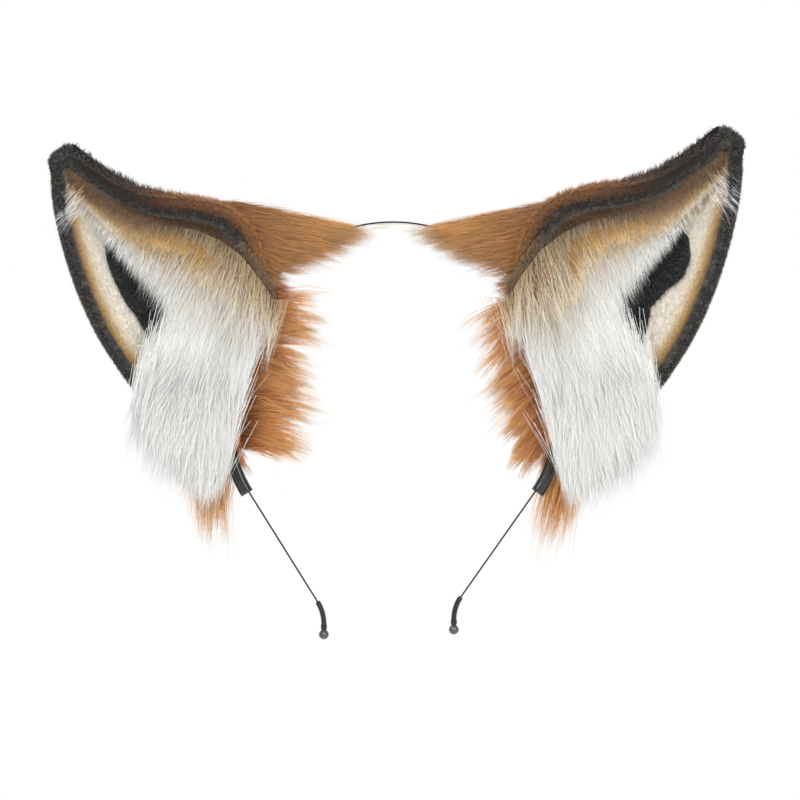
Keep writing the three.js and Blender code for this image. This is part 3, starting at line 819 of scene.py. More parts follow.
def scatter(rng, count, s_range, t_range, keep):
    """count places (s, t) spread evenly over a part of the ear's surface: tried at random, and kept
    with a chance that goes with the surface's stretch there, and where keep says so."""
    s = rng.uniform(*s_range, TRIES * count)
    t = rng.uniform(*t_range, TRIES * count)
    stretch = np.linalg.norm(ear_facing(s, t), axis=-1)
    taken = (rng.uniform(size=len(s)) < stretch / np.percentile(stretch, 97)) & keep(s, t)
    return s[taken][:count], t[taken][:count]


def combed(rng, normal, wish, *lifts):
    """Directions that lie along the surface as near to wish as they can, raised off it by an angle in
    degrees drawn between two limits. There is one pair of limits for the roots and one for the tips."""
    flat = unit(wish - (wish * normal).sum(-1, keepdims=True) * normal)
    drawn = [np.radians(rng.uniform(*lift, len(flat)))[:, None] for lift in lifts]
    return [unit(flat * np.cos(lift) + normal * np.sin(lift)) for lift in drawn]


def back_shade(s):
    """The back pelt's place on the colour ramp: rust orange at the base, dark brown in the middle and
    black at the tip."""
    return np.interp(s, [0, 0.1, 0.3, 0.5, 0.66, 0.82, 1], [0.30, 0.31, 0.29, 0.22, 0.11, 0.04, 0.01])


back_pelt = pelt_material("back_pelt", FUR_COLOURS)
back_hair = fur_material("back_hair", FUR_COLOURS, tones=(0.6, 1.35))
for side in SIDES:
    rng = seeded(side, 11)
    backing = make_piece(f"{side}_back_pelt",
                         *ear_blade(side, BACK_SKIN - BACK_BACKING, BACK_SKIN, BACK_INSETS),
                         back_pelt, side)
    give_shade(backing, back_shade(np.repeat(np.linspace(BASE_START, 1, BLADE_ROWS), BLADE_COLUMNS)))
    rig.replaces(backing, f"{side}_ear_back_fur")
    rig.slot(backing, "brown_fur")
    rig.ride(backing, f"{side}_ear")
    for part, (t_range, count) in enumerate(BACK_HAIRS):
        s, t = scatter(rng, count, (BASE_START, 0.99), t_range, keep=lambda s, t: t * ear_width(s) > 2.4)
        roots, normal = ear_layer(s, t, BACK_SKIN - BACK_BACKING + 0.3)
        ahead = ear_surface(np.minimum(s + 0.02, 1), t) - ear_surface(s, t)
        up = ear_surface(s, np.minimum(t + 0.02, 1)) - ear_surface(s, np.maximum(t - 0.02, 0))
        wish = unit(unit(up) * np.interp(t, [0, 0.3, 0.5], [-0.15, 0.3, 1.0])[:, None]
                    + unit(ahead) * np.interp(s, [0, 0.4], [-0.8, 0.6])[:, None]
                    + rng.normal(size=(len(s), 3)) * 0.35)
        start, end = combed(rng, -normal, wish, (25, 60), (-5, 25))
        length = rng.uniform(*BACK_HAIR_LENGTH, len(s)) * np.interp(s, [0, 0.7, 1], [1.15, 0.95, 0.6])
        length = length * np.interp(t * ear_width(s), [0, 10], [0.45, 1])
        base_shade = back_shade(s)
        shade = np.stack([base_shade - 0.05, base_shade + 0.05 + rng.uniform(-0.03, 0.07, len(s))], 1)
        fur = make_piece(f"{side}_back_fur_{part + 1}",
                         *hairs(rng, place_ear(roots, side), start, end, length,
                                rng.uniform(*BACK_HAIR_WIDTH, len(s)), shade, rng.uniform(0, 1, len(s)),
                                clump=0.35), back_hair, side)
        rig.slot(fur, "brown_fur")
        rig.ride(fur, f"{side}_ear")

# ------------------------------------------------------------------ the ear's front pelt
# A short-pile faux fur lines the cup: a tan strip along the outer rim, cream beside it, and tan velvet
# under the upper rim that is widest near the base. It is sewn to the back pelt at the rim.
LINING_LOW, LINING_HIGH = 1.5, 2.5
LINING_INSETS = (1.5, 2.6, 6.0)
LINING_TOP = 0.95
FRONT_HAIRS = (((0.02, 0.42), 12000), ((0.42, 0.98), 9000))
FRONT_HAIR_LENGTH = (1.8, 3.0)
FRONT_HAIR_WIDTH = (0.12, 0.18)
# Colours from dark brown, used right under the upper rim as painted shade over the velvet's tan, to white.
VELVET_COLOURS = [
    (0.00, linear(84, 64, 44)), (0.20, linear(116, 88, 56)), (0.40, linear(150, 116, 70)),
    (0.55, linear(180, 148, 100)), (0.68, linear(206, 184, 148)), (0.80, linear(224, 214, 196)),
    (0.90, linear(229, 228, 223)), (1.00, linear(241, 241, 239)),
]


def velvet_width(s):
    """How far the tan velvet reaches below the upper rim, in millimetres."""
    return np.interp(s, [0, 0.2, 0.45, 0.6, 0.75, 0.9, 1], [30, 26, 21, 17, 13, 9, 5])


def front_shade(s, t):
    """The front pelt's place on the colour ramp, from the distance to the outer rim and to the upper one:
    tan beside the outer rim, then cream, and tan velvet under the upper rim, darkened to brown nearest the rim as
    painted shade."""
    width = ear_width(s)
    from_outer, from_upper = t * width, (1 - t) * width
    lower = np.interp(from_outer, [1.5, 4.5, 7, 9.5], [0.32, 0.60, 0.77, 0.83])
    # Velvet under the upper rim: its own tan, darkened to brown nearest the rim as painted shade.
    upper = np.interp((from_upper - 4) / velvet_width(s), [0, 0.2, 0.45, 0.65, 0.85, 1.1],
                      [0.16, 0.22, 0.38, 0.56, 0.70, 0.83])
    return np.minimum(lower, upper)


front_pelt = pelt_material("front_pelt", VELVET_COLOURS, streaks=(0.75, 1.0))
front_hair = fur_material("front_hair", VELVET_COLOURS, tones=(0.84, 1.12))
for side in SIDES:
    rng = seeded(side, 21)
    lining = make_piece(f"{side}_front_pelt",
                        *ear_blade(side, LINING_LOW, LINING_HIGH, LINING_INSETS), front_pelt, side)
    grid = np.meshgrid(np.linspace(BASE_START, LINING_TOP, BLADE_ROWS), np.linspace(0, 1, BLADE_COLUMNS),
                       indexing="ij")
    give_shade(lining, front_shade(*grid))
    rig.replaces(lining, f"{side}_ear_front_lining")
    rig.slot(lining, "cream_fur")
    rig.ride(lining, f"{side}_ear")
    inside = lambda s, t: (t * ear_width(s) > 1.3) & ((1 - t) * ear_width(s) > 3.6)
    for part, (t_range, count) in enumerate(FRONT_HAIRS):
        s, t = scatter(rng, count, (BASE_START, 0.965), t_range, keep=inside)
        roots, normal = ear_layer(s, t, LINING_HIGH - 0.3)
        wish = unit([0.22, 0, -1.0] + rng.normal(size=(len(s), 3)) * 0.3)
        start, end = combed(rng, normal, wish, (30, 65), (0, 25))
        length = rng.uniform(*FRONT_HAIR_LENGTH, len(s))
        base_shade = front_shade(s, t) + rng.normal(size=len(s)) * 0.03
        shade = np.stack([base_shade - 0.05, base_shade + 0.04], 1)
        pile = make_piece(f"{side}_front_pile_{part + 1}",
                          *hairs(rng, place_ear(roots, side), start, end, length,
                                 rng.uniform(*FRONT_HAIR_WIDTH, len(s)), shade,
                                 rng.uniform(0, 1, len(s))), front_hair, side)
        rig.slot(pile, "cream_fur")
        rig.ride(pile, f"{side}_ear")

# ------------------------------------------------------------------ the dark rim
# A strip of charcoal plush, about 4 mm wide, is sewn all round the front of the ear's edge. Its
# short dense pile is a mix of black and grey hairs, so it looks speckled close to.
# The first four are pairs, for the outer edge and for the upper one.
RIM_FLOOR = (1.5, 2.3)
RIM_REACH = (1.1, 4.4)
EDGE_BULGE = (2.2, 0.7)
EDGE_LOW = (-1.9, -3.5)
RIM_STEPS = 150
RIM_HAIRS = 23000
RIM_HAIR_LENGTH = (1.2, 2.1)
RIM_HAIR_WIDTH = (0.13, 0.22)
TIP_STARTS = 0.47
CHARCOAL = [(0.0, linear(30, 29, 28)), (0.5, linear(58, 57, 54)), (1.0, linear(112, 107, 99))]


def rim_path(u, inset):
    """Places (s, t) round the ear's edge, inset from it: u runs up the outer edge to the tip, over it,
    and back down the upper edge to the base."""
    top = 1 - inset / EAR_LENGTH
    s = np.interp(u, [0, TIP_STARTS, 1 - TIP_STARTS, 1], [BASE_START, 1, 1, BASE_START]) * top
    s = np.maximum(s, BASE_START)
    edge = np.minimum(inset / ear_width(s), MOST_INSET)
    over = np.clip((u - TIP_STARTS) / (1 - 2 * TIP_STARTS), 0, 1)
    return s, edge + (1 - 2 * edge) * over


def ear_edge(u, offset):
    """Points on the ear's cut edge, at u round it and offset to the front, and the directions there
    that point away from the ear."""
    s, t = rim_path(u, 0.4)
    inner_s, inner_t = rim_path(u, 3.0)
    points, normal = ear_layer(s, t, offset)
    away = points - ear_layer(inner_s, inner_t, offset)[0]
    return points, unit(away - (away * normal).sum(-1, keepdims=True) * normal)


def edge_colour_and_seam_shade(u, v):
    """The cut edge's place on the fur's colour ramp: near black on the outer side and over the tip, and
    the back pelt's own colours along the upper side, darkened towards the plush as painted shade in the seam."""
    s = rim_path(u, 0.4)[0]
    # Along the upper side the colour falls to a third towards the plush: painted shade in the seam.
    return np.where(u > 0.5, back_shade(s) * np.interp(v, [0.25, 0.6], [1, 0.3]), 0.02 + 0.03 * v)


def round_edge(u, values, upper_starts=0.56):
    """The first value along the outer edge and the second along the upper, changing over the tip."""
    return np.interp(u, [0, TIP_STARTS, upper_starts, 1], np.repeat(values, 2))


def rim_reach(u):
    """How far the plush reaches in from the edge: little on the outer side, more on the upper."""
    return round_edge(u, RIM_REACH, upper_starts=0.58)


def edge_offset(u, v):
    """Offsets from the back pelt's edge, v = 0, to the plush, v = 1."""
    low = round_edge(u, EDGE_LOW)
    return low + (round_edge(u, RIM_FLOOR) + 1.1 - low) * v


def edge_bulge(u, v):
    """How far the turned edge swells past the cut edge: more on the outer side than on the upper."""
    return round_edge(u, EDGE_BULGE) * np.sin(np.pi * v) ** 0.7


def speckle(rng, roots):
    """The plush hairs' places on the colour ramp: blotches under 1 mm across, and a change of each
    hair's own. Root and tip are the same."""
    shade = np.clip(0.8 * mottle(rng, roots, 0.9) + rng.uniform(-0.1, 0.2, len(roots)), 0, 0.95)
    return np.stack([shade, shade], 1)


rim_plush = pelt_material("rim_plush", CHARCOAL)
rim_hair = fur_material("rim_hair", CHARCOAL, tones=(0.35, 1.7), roughness=0.8)
# Hair on the turned edge: its name, material, reach across the edge, that reach's share and shift
# along the upper side, how many, how long, and the slot that it takes its finish from.
EDGE_PILES = (("edge_pile", rim_hair, (0.2, 1.0), (0.9, 0.1), 13500, (0.9, 1.7), "rim_fur"),
              ("edge_fur", back_hair, (0.0, 0.6), (0.75, 0.0), 12000, (1.6, 3.2), "brown_fur"))
EDGE_HAIR_WIDTH = (0.1, 0.16)
for side in SIDES:
    rng = seeded(side, 31)
    u, v = np.meshgrid(np.linspace(0, 1, RIM_STEPS), np.linspace(0, 1, 8), indexing="ij")
    s, t = rim_path(u, rim_reach(u) * (0.08 + 0.92 * v))
    floor = round_edge(u, RIM_FLOOR)
    crown = 0.7 * np.sin(np.pi * v) ** 0.5
    trim = make_piece(f"{side}_rim_plush", *ear_shell(side, s, t, floor + (0.9 + crown), floor), rim_plush,
                      side)
    give_shade(trim, 0.25)
    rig.replaces(trim, f"{side}_ear_rim_trim")
    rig.slot(trim, "rim_fur")
    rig.ride(trim, f"{side}_ear")
    u, v = np.meshgrid(np.linspace(0, 1, RIM_STEPS), np.linspace(0, 1, 10), indexing="ij")
    middle, away = ear_edge(u, edge_offset(u, v))
    faces = (place_ear(middle + away * edge_bulge(u, v)[..., None], side), place_ear(middle - away, side))
    turn_over = make_piece(f"{side}_edge_pelt", *shell(*faces), back_pelt, side)
    # The turned edge is darkened next to the plush along the upper side: painted shade in the seam.
    give_shade(turn_over, edge_colour_and_seam_shade(u, v))
    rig.slot(turn_over, "brown_fur")
    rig.ride(turn_over, f"{side}_ear")
    u = rng.uniform(0, 1, RIM_HAIRS)
    across = rng.uniform(0, 1, RIM_HAIRS)
    s, t = rim_path(u, rim_reach(u) * (0.08 + 0.96 * across))
    roots, normal = ear_layer(s, t, round_edge(u, RIM_FLOOR) + 0.65 + 0.7 * np.sin(np.pi * across) ** 0.5)
    away = ear_edge(u, 0 * u)[1]
    wish = unit(away * (0.8 - 1.5 * across)[:, None] + rng.normal(size=roots.shape) * 0.6 + [0, 0, -0.2])
    start, end = combed(rng, normal, wish, (30, 75), (0, 50))
    shade = speckle(rng, roots)
    plush = make_piece(f"{side}_rim_pile",
                       *hairs(rng, place_ear(roots, side), start, end,
                              rng.uniform(*RIM_HAIR_LENGTH, RIM_HAIRS),
                              rng.uniform(*RIM_HAIR_WIDTH, RIM_HAIRS), shade,
                              mottle(rng, roots, 0.6) * rng.uniform(0.5, 1, RIM_HAIRS)), rim_hair, side)
    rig.slot(plush, "rim_fur")
    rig.ride(plush, f"{side}_ear")
    for name, hair, v_range, (share, shift), count, length_range, slot in EDGE_PILES:
        u, v = rng.uniform(0, 1, count), rng.uniform(*v_range, count)
        v = np.where(u < 0.5, v, v * share + shift)
        middle, away = ear_edge(u, edge_offset(u, v))
        roots = middle + away * (edge_bulge(u, v) - 0.25)[:, None]
        wish = unit(away + [0, -0.15, 0] + rng.normal(size=(count, 3)) * 0.45)
        start, end = wish, unit(wish + rng.normal(size=(count, 3)) * 0.35)
        if name == "edge_pile":
            shade = speckle(rng, roots)
            length = rng.uniform(*length_range, count)
            tone = mottle(rng, roots, 0.6) * rng.uniform(0.5, 1, count)
        else:
            # The edge fur takes the same painted shade in the seam next to the plush.
            base_shade = edge_colour_and_seam_shade(u, v)
            shade = np.stack([base_shade - 0.03, base_shade + rng.uniform(-0.02, 0.08, count)], 1)
            length = rng.uniform(*length_range, count) * np.interp(u, [0.4, 0.6, 0.9], [0.5, 1, 1.3])
            tone = rng.uniform(0, 1, count)
        turned_pile = make_piece(f"{side}_{name}",
                                 *hairs(rng, place_ear(roots, side), start, end, length,
                                        rng.uniform(*EDGE_HAIR_WIDTH, count), shade, tone), hair, side)
        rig.slot(turned_pile, slot)
        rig.ride(turned_pile, f"{side}_ear")

# ------------------------------------------------------------------ the black patch
# A piece of black short fur is set into the cup's outer half, to make it look deep. Its outline takes in
# the dark at the bottom of the cup, which is partly painted shade. It tapers to both ends, and the long
# white fur falls over its inner side.
PATCH_AT = [0.18, 0.22, 0.30, 0.35, 0.40, 0.48, 0.56, 0.62, 0.66]
PATCH_OUTER = {"left": [0.19, 0.17, 0.20, 0.22, 0.24, 0.25, 0.28, 0.32, 0.40],
               "right": [0.17, 0.151, 0.175, 0.215, 0.28, 0.27, 0.215, 0.24, 0.36]}
PATCH_INNER = [0.30, 0.40, 0.50, 0.55, 0.58, 0.60, 0.60, 0.58, 0.52]
PATCH_FRONT, PATCH_BACK = 4.1, 3.4
PATCH_HAIRS = 7000
PATCH_HAIR_LENGTH = (2.0, 3.8)
PATCH_HAIR_WIDTH = (0.11, 0.16)
BLACKS = [(0.0, linear(16, 16, 17)), (0.6, linear(30, 30, 32)), (1.0, linear(58, 60, 64))]

patch_pelt = pelt_material("patch_pelt", BLACKS)
patch_hair = fur_material("patch_hair", BLACKS, tones=(0.5, 1.5), roughness=0.6)
for side in SIDES:
    rng = seeded(side, 41)
    s = np.linspace(PATCH_AT[0], PATCH_AT[-1], 40)[:, None]
    v = np.linspace(0, 1, 16)[None]
    from_t, to_t = np.interp(s, PATCH_AT, PATCH_OUTER[side]), np.interp(s, PATCH_AT, PATCH_INNER)
    t = from_t + (to_t - from_t) * v
    s = s + 0 * t
    patch = make_piece(f"{side}_black_patch", *ear_shell(side, s, t, PATCH_FRONT, PATCH_BACK), patch_pelt,
                       side)
    give_shade(patch, 0.2)
    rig.replaces(patch, f"{side}_ear_inner_patch")
    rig.slot(patch, "black_fur")
    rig.ride(patch, f"{side}_ear")
    in_patch = lambda s, t: ((t > np.interp(s, PATCH_AT, PATCH_OUTER[side]) - 0.004)
                             & (t < np.interp(s, PATCH_AT, PATCH_INNER)))
    s, t = scatter(rng, PATCH_HAIRS, (PATCH_AT[0], PATCH_AT[-1]), (0.14, 0.62), keep=in_patch)
    roots, normal = ear_layer(s, t, PATCH_FRONT - 0.2)
    wish = unit([0.25, 0, -1.0] + rng.normal(size=(len(s), 3)) * 0.35)
    start, end = combed(rng, normal, wish, (30, 60), (0, 20))
    shade = rng.uniform(0, 0.5, len(s))
    pile = make_piece(f"{side}_black_pile",
                      *hairs(rng, place_ear(roots, side), start, end,
                             rng.uniform(*PATCH_HAIR_LENGTH, len(s)), rng.uniform(*PATCH_HAIR_WIDTH, len(s)),
                             np.stack([shade, shade + 0.2], 1), rng.beta(1.5, 2, len(s)), clump=0.3),
                      patch_hair, side)
    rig.slot(pile, "black_fur")
    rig.ride(pile, f"{side}_ear")

# ------------------------------------------------------------------ the long white fur
# Long soft white fur is sewn in below the upper rim and falls over the cup and past the ear's base in
# one thick lock. It grows out of the tan velvet, is brushed down and outwards, and is trimmed to a
# feathered point.
LOCK_OUTER = np.array([[127, 16], [112, -3], [102.5, -15.5], [93.5, -26], [88.5, -34], [88.5, -48],
                       [94.5, -63], [98, -75], [97, -87], [90, -97], [80, -104], [72, -108]])
LOCK_INNER = np.array([[124, 20], [110, 12], [100, 8], [88, 5.5], [76, 3.5], [66, -1], [57, -8],
                       [49, -17], [46, -25], [49.5, -42], [56.5, -64], [60.5, -82], [62.5, -96],
                       [66.5, -107]])
ROOT_LINE = ([45, 50, 57, 66, 76, 88, 100, 110, 124, 130], [-24, -16, -7, 0, 4.5, 6.5, 9, 13, 21, 26])
VELVET_HAIRS = 13000
VELVET_HAIR_LENGTH = (2.0, 3.6)
VELVET_HAIR_WIDTH = (0.12, 0.17)
LOCK_HAIRS = (9500, 9500)  # one piece each
LOCK_HAIR_LENGTH = (18, 44)
LOCK_HAIR_WIDTH = (0.08, 0.125)
WISPS = 2200
WISPS_AT_TIP = 0.025
WISP_WIDTH = (0.05, 0.09)


def root_line(x):
    """The height of the line below the upper rim along which the velvet turns into long fur."""
    return np.interp(x, *ROOT_LINE)


def lock_depth(x, z):
    """How far in front or behind the long fur's floor lies: on the lining at the root line, out past
    the rim's lower end further down, and straight down below the ear."""
    down = np.interp(z, [-125, -75, -62, -52, -40, -25, -10, 5, 20],
                     [-14.5, -15.5, -14.8, -13.2, -10.2, -6.2, -3.4, -1.8, -1.5])
    inward = np.interp(x, [46, 52, 58, 66, 74], [-12, -14, -13, -4, 6])
    lining = np.interp(x, [44, 50, 58, 66, 76, 96, 108, 124], [-11, -13, -8, 2, 4, 2.5, 2, 0.5])
    below = root_line(x) - z
    share = np.clip(below / 14, 0, 1)
    share = share * share * (3 - 2 * share)
    return np.minimum(lining + (np.minimum(down, inward) - lining) * share, lining + 0.5)


def lock_place(a, b):
    """Places (x, z) in the lock, seen from the front: a runs from the tip to its lower end, and b
    from its outer side to its inner one."""
    return curve_through(LOCK_OUTER, a) * (1 - b)[..., None] + curve_through(LOCK_INNER, a) * b[..., None]


TAN_REACH = {"left": ([45, 52, 60, 75, 90, 105, 118, 127], [16, 24, 31, 27, 20, 13, 7, 4]),
             "right": ([45, 52, 60, 69, 73, 90, 105, 118, 127], [16, 28, 38, 38, 25, 18, 13, 7, 4])}


def lean(x, z):
    """How far hair leans outwards from straight down, in degrees."""
    return (np.interp(x, [46, 62, 80, 100, 115, 127], [13, 14, 18, 20, 27, 34])
            * np.interp(z, [-115, -90, -60], [0.15, 0.5, 1.0]))


def tan_share(side, x, z):
    """0 at the velvet's root line and 1 where the fur has turned white. The right ear's velvet ends
    more sharply, one third of the way along."""
    return (root_line(x) - z) / np.interp(x, *TAN_REACH[side])


def lock_shade(side, x, z):
    """The long fur's place on the colour ramp: brown at the root line, where the velvet's tan is darkened as
    painted shade under the upper rim, then tan, cream and white, which is lightest towards the lower end."""
    # At the root line, just under the upper rim, the brown is painted shade over the velvet's tan.
    shade = np.interp(tan_share(side, x, z), [0, 0.2, 0.45, 0.65, 0.85, 1.1, 1.5],
                      [0.18, 0.22, 0.37, 0.55, 0.70, 0.83, 0.91])
    return shade + 0.09 * np.clip((-30 - z) / 40, 0, 1) * np.interp(shade, [0.7, 0.85], [0, 1])


white_pelt = pelt_material("white_pelt", VELVET_COLOURS, streaks=(0.85, 1.0))
white_hair = fur_material("white_hair", VELVET_COLOURS, tones=(0.94, 1.03), roughness=0.7, sheen=0.3,
                          specular=0.2)
velvet_hair = fur_material("velvet_hair", VELVET_COLOURS, tones=(0.66, 1.2), roughness=0.75)
# How far hairs stray past the lock's outer side, as a share of its width, at five places down it.
FEATHER_AT = [0.1, 0.2, 0.32, 0.5, 0.62]
FEATHER = {"left": [0.28, 0.16, 0.04, 0.04, 0.16], "right": [0.10, 0.06, 0.03, 0.03, 0.16]}
for side in SIDES:
    rng = seeded(side, 51)
    a, across = np.meshgrid(np.linspace(0.03, 0.84, 60), np.linspace(0, 1, 16), indexing="ij")
    b = np.interp(a, [0, 0.35, 0.5], [0.34, 0.30, 0.12]) * (1 - across) + 0.93 * across
    x, z = np.moveaxis(lock_place(a, b), -1, 0)
    thin = (np.sin(np.pi * np.clip(across, 0.05, 0.95)) ** 0.5
            * np.interp(a, [0, 0.3, 0.78, 0.84], [0.4, 2.0, 2.0, 0.5]))
    faces = [place_ear(np.stack([x, lock_depth(x, z) + offset, z], -1), side)
             for offset in (thin / 2 + 0.2, -thin / 2)]
    backing = make_piece(f"{side}_white_pelt", *shell(*faces), white_pelt, side)
    give_shade(backing, lock_shade(side, x, z))
    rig.replaces(backing, f"{side}_ear_white_tuft")
    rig.slot(backing, "white_fur")
    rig.ride(backing, f"{side}_ear")
    count = VELVET_HAIRS
    x = rng.uniform(44, 126, count)
    z = root_line(x) + 4 - rng.uniform(0, 1, count) * (4 + 1.05 * np.interp(x, *TAN_REACH[side]))
    roots = np.stack([x, lock_depth(x, z) - 0.8, z], -1)
    aim = np.radians(lean(x, z))
    aim = unit(np.stack([np.sin(aim), -0.7 + 0 * x, -np.cos(aim)], -1) + rng.normal(size=(count, 3)) * 0.3)
    # The velvet pile near the root line carries the painted shade under the upper rim.
    shade = lock_shade(side, x, z) + rng.normal(size=count) * 0.05
    velvet = make_piece(f"{side}_velvet_pile",
                        *hairs(rng, place_ear(roots, side), aim, unit(aim + [0, 0.6, -0.3]),
                               rng.uniform(*VELVET_HAIR_LENGTH, count),
                               rng.uniform(*VELVET_HAIR_WIDTH, count),
                               np.stack([shade - 0.05, shade + 0.05], 1), rng.uniform(0, 1, count)),
                        velvet_hair, side)
    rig.slot(velvet, "cream_fur")
    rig.ride(velvet, f"{side}_ear")
    for part, count in enumerate(LOCK_HAIRS):
        a = rng.uniform(0.0, 1.0, TRIES * count)
        feather = np.interp(a, FEATHER_AT, FEATHER[side])
        b = rng.uniform(0, 1.0, TRIES * count) - feather * rng.uniform(0, 1, TRIES * count) ** 2
        gap = np.linalg.norm(lock_place(a, 0 * a) - lock_place(a, 0 * a + 1), axis=-1)
        taken = rng.uniform(size=len(a)) < gap / gap.max()
        a, b = a[taken][:2 * count], b[taken][:2 * count]
        tip_x, tip_z = lock_place(a, b).T
        angle = np.radians(lean(tip_x, tip_z) + rng.normal(size=len(a)) * 4.5)
        steps = np.linspace(1.5, LOCK_HAIR_LENGTH[1], 35)
        back_x = tip_x[:, None] - steps * np.sin(angle)[:, None]
        back_z = tip_z[:, None] + steps * np.cos(angle)[:, None]
        inner_x = np.interp(-back_z, [8, 17, 25, 42, 64, 84, 103, 122], [50, 46, 44, 47, 53.5, 58, 61, 65])
        hidden = rng.uniform(0.68, 1.15, len(a))[:, None] * np.interp(back_x, *TAN_REACH[side])
        grows = (back_z < root_line(back_x) - hidden) & (back_x > inner_x)
        long_enough = grows[:, :4].all(1)
        a, angle, tip_x, tip_z, grows = (values[long_enough][:count] for values in
                                         (a, angle, tip_x, tip_z, grows))
        most = np.where(grows.all(1), steps[-1], steps[np.maximum(grows.argmin(1) - 1, 0)])
        reach = most * rng.uniform(0.45, 1.0, len(a))
        reach = np.minimum(reach, rng.uniform(*LOCK_HAIR_LENGTH, len(a)))
        root_x, root_z = tip_x - reach * np.sin(angle), tip_z + reach * np.cos(angle)
        loft = np.interp(reach, [3, 30], [1.5, 2.7]) * rng.uniform(0.8, 1.15, len(a))
        roots = np.stack([root_x, lock_depth(root_x, root_z) - 0.3, root_z], -1)
        tips = np.stack([tip_x, lock_depth(tip_x, tip_z) - loft, tip_z], -1)
        length = np.linalg.norm(tips - roots, axis=-1) * rng.uniform(0.97, 1.10, len(a))
        straight = unit(tips - roots)
        start = unit(straight + [0, -0.22, 0] + rng.normal(size=roots.shape) * 0.03)
        end = 2 * straight - start
        shade = np.stack([lock_shade(side, root_x, root_z), lock_shade(side, tip_x, tip_z)], 1)
        shade = shade + 0.06 + rng.normal(size=(len(a), 1)) * 0.02
        lock = make_piece(f"{side}_white_lock_{part + 1}",
                          *hairs(rng, place_ear(roots, side), start, end, length,
                                 rng.uniform(*LOCK_HAIR_WIDTH, len(a)) * np.interp(reach, [3, 15], [0.75, 1]),
                                 shade, rng.uniform(0, 1, len(a)), segments=2, clump=0.12, per_clump=12),
                          white_hair, side)
        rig.slot(lock, "white_fur")
        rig.ride(lock, f"{side}_ear")
    count = WISPS
    near_tip = rng.uniform(size=count) < WISPS_AT_TIP
    a = np.where(near_tip, rng.uniform(0.0, 0.12, count), rng.uniform(0.3, 1.0, count))
    side_of = rng.choice([0.0, 1.0, 0.5], count, p=[0.4, 0.25, 0.35])
    b = np.clip(side_of + rng.normal(size=count) * 0.16, 0, 1)
    tip_x, tip_z = lock_place(a, b).T
    angle = np.radians(lean(tip_x, tip_z) + rng.normal(size=count) * 11 + np.where(near_tip, 16, 0)
                       + (0.5 - b) * 14)
    reach = rng.uniform(16, 34, count) * np.where(near_tip, 0.45, 1)
    past = rng.uniform(1, 7, count)
    roots_at = np.stack([tip_x - (reach - past) * np.sin(angle), tip_z + (reach - past) * np.cos(angle)])
    roots_at[1] = np.minimum(roots_at[1], root_line(roots_at[0]) - 3)
    angle = np.where(near_tip, np.radians(rng.uniform(25, 62, count)), angle)
    reach = np.where(near_tip, rng.uniform(8, 15, count), reach)
    roots_at = np.where(near_tip, [rng.uniform(120, 126.5, count), rng.uniform(8, 21, count)], roots_at)
    root_y = lock_depth(*roots_at) - np.where(near_tip, 3.5, rng.uniform(0.5, 3.5, count))
    roots = np.stack([roots_at[0], root_y, roots_at[1]], -1)
    aim = np.stack([np.sin(angle), -0.12 + 0 * angle, -np.cos(angle)], -1)
    white = np.interp(tan_share(side, *roots_at), [0.2, 1.2], [0.55, 0.98])
    wisps = make_piece(f"{side}_white_wisps",
                       *hairs(rng, place_ear(roots, side), unit(aim + [0, -0.2, 0]),
                              unit(aim + [0, 0.1, -0.1]), reach, rng.uniform(*WISP_WIDTH, count),
                              np.stack([white, 0 * white + 0.99], 1), rng.uniform(0, 1, count), segments=3,
                              clump=0.25, per_clump=5, wave=0.02), white_hair, side)
    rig.slot(wisps, "white_fur")
    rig.ride(wisps, f"{side}_ear")

# ------------------------------------------------------------------ fur swept to the crown
# Golden-brown fur, sewn over the band where the ear's base ends, is brushed along the band towards
# the middle of the crown, and thins to a wisp there. Its roots turn with the ear and its tips with the
# band, so it bends where the two meet.
SWEEP_UPPER = np.array([[3.5, -1], [18, 1], [34, 4], [48, 7.5], [62, 10.5], [70, 9]])
SWEEP_LOWER = np.array([[6, -4], [17, -11.5], [27, -16], [37, -21], [46, -25], [54, -27]])
SWEEP_BENDS = (28, 56)  # from the band to the ear, in millimetres from the middle
SWEEP_HAIRS = ((6500, -1), (4500, 1))  # how many, and -1 for in front of the band or 1 for behind
SWEEP_HAIR_LENGTH = (14, 32)
SWEEP_HAIR_WIDTH = (0.07, 0.12)
EAR_SIDE_X, EAR_SIDE_Z = [50, 53.5, 55, 58.5, 65.5, 76, 90], [-30, -17.5, -9, -0.5, 5.5, 8.6, 12]


def sweep_place(a, b):
    """Places (x, z) in the swept fur: a runs from its end near the crown to the ear, b from its lower
    side to its upper one."""
    return curve_through(SWEEP_LOWER, a) * (1 - b)[..., None] + curve_through(SWEEP_UPPER, a) * b[..., None]


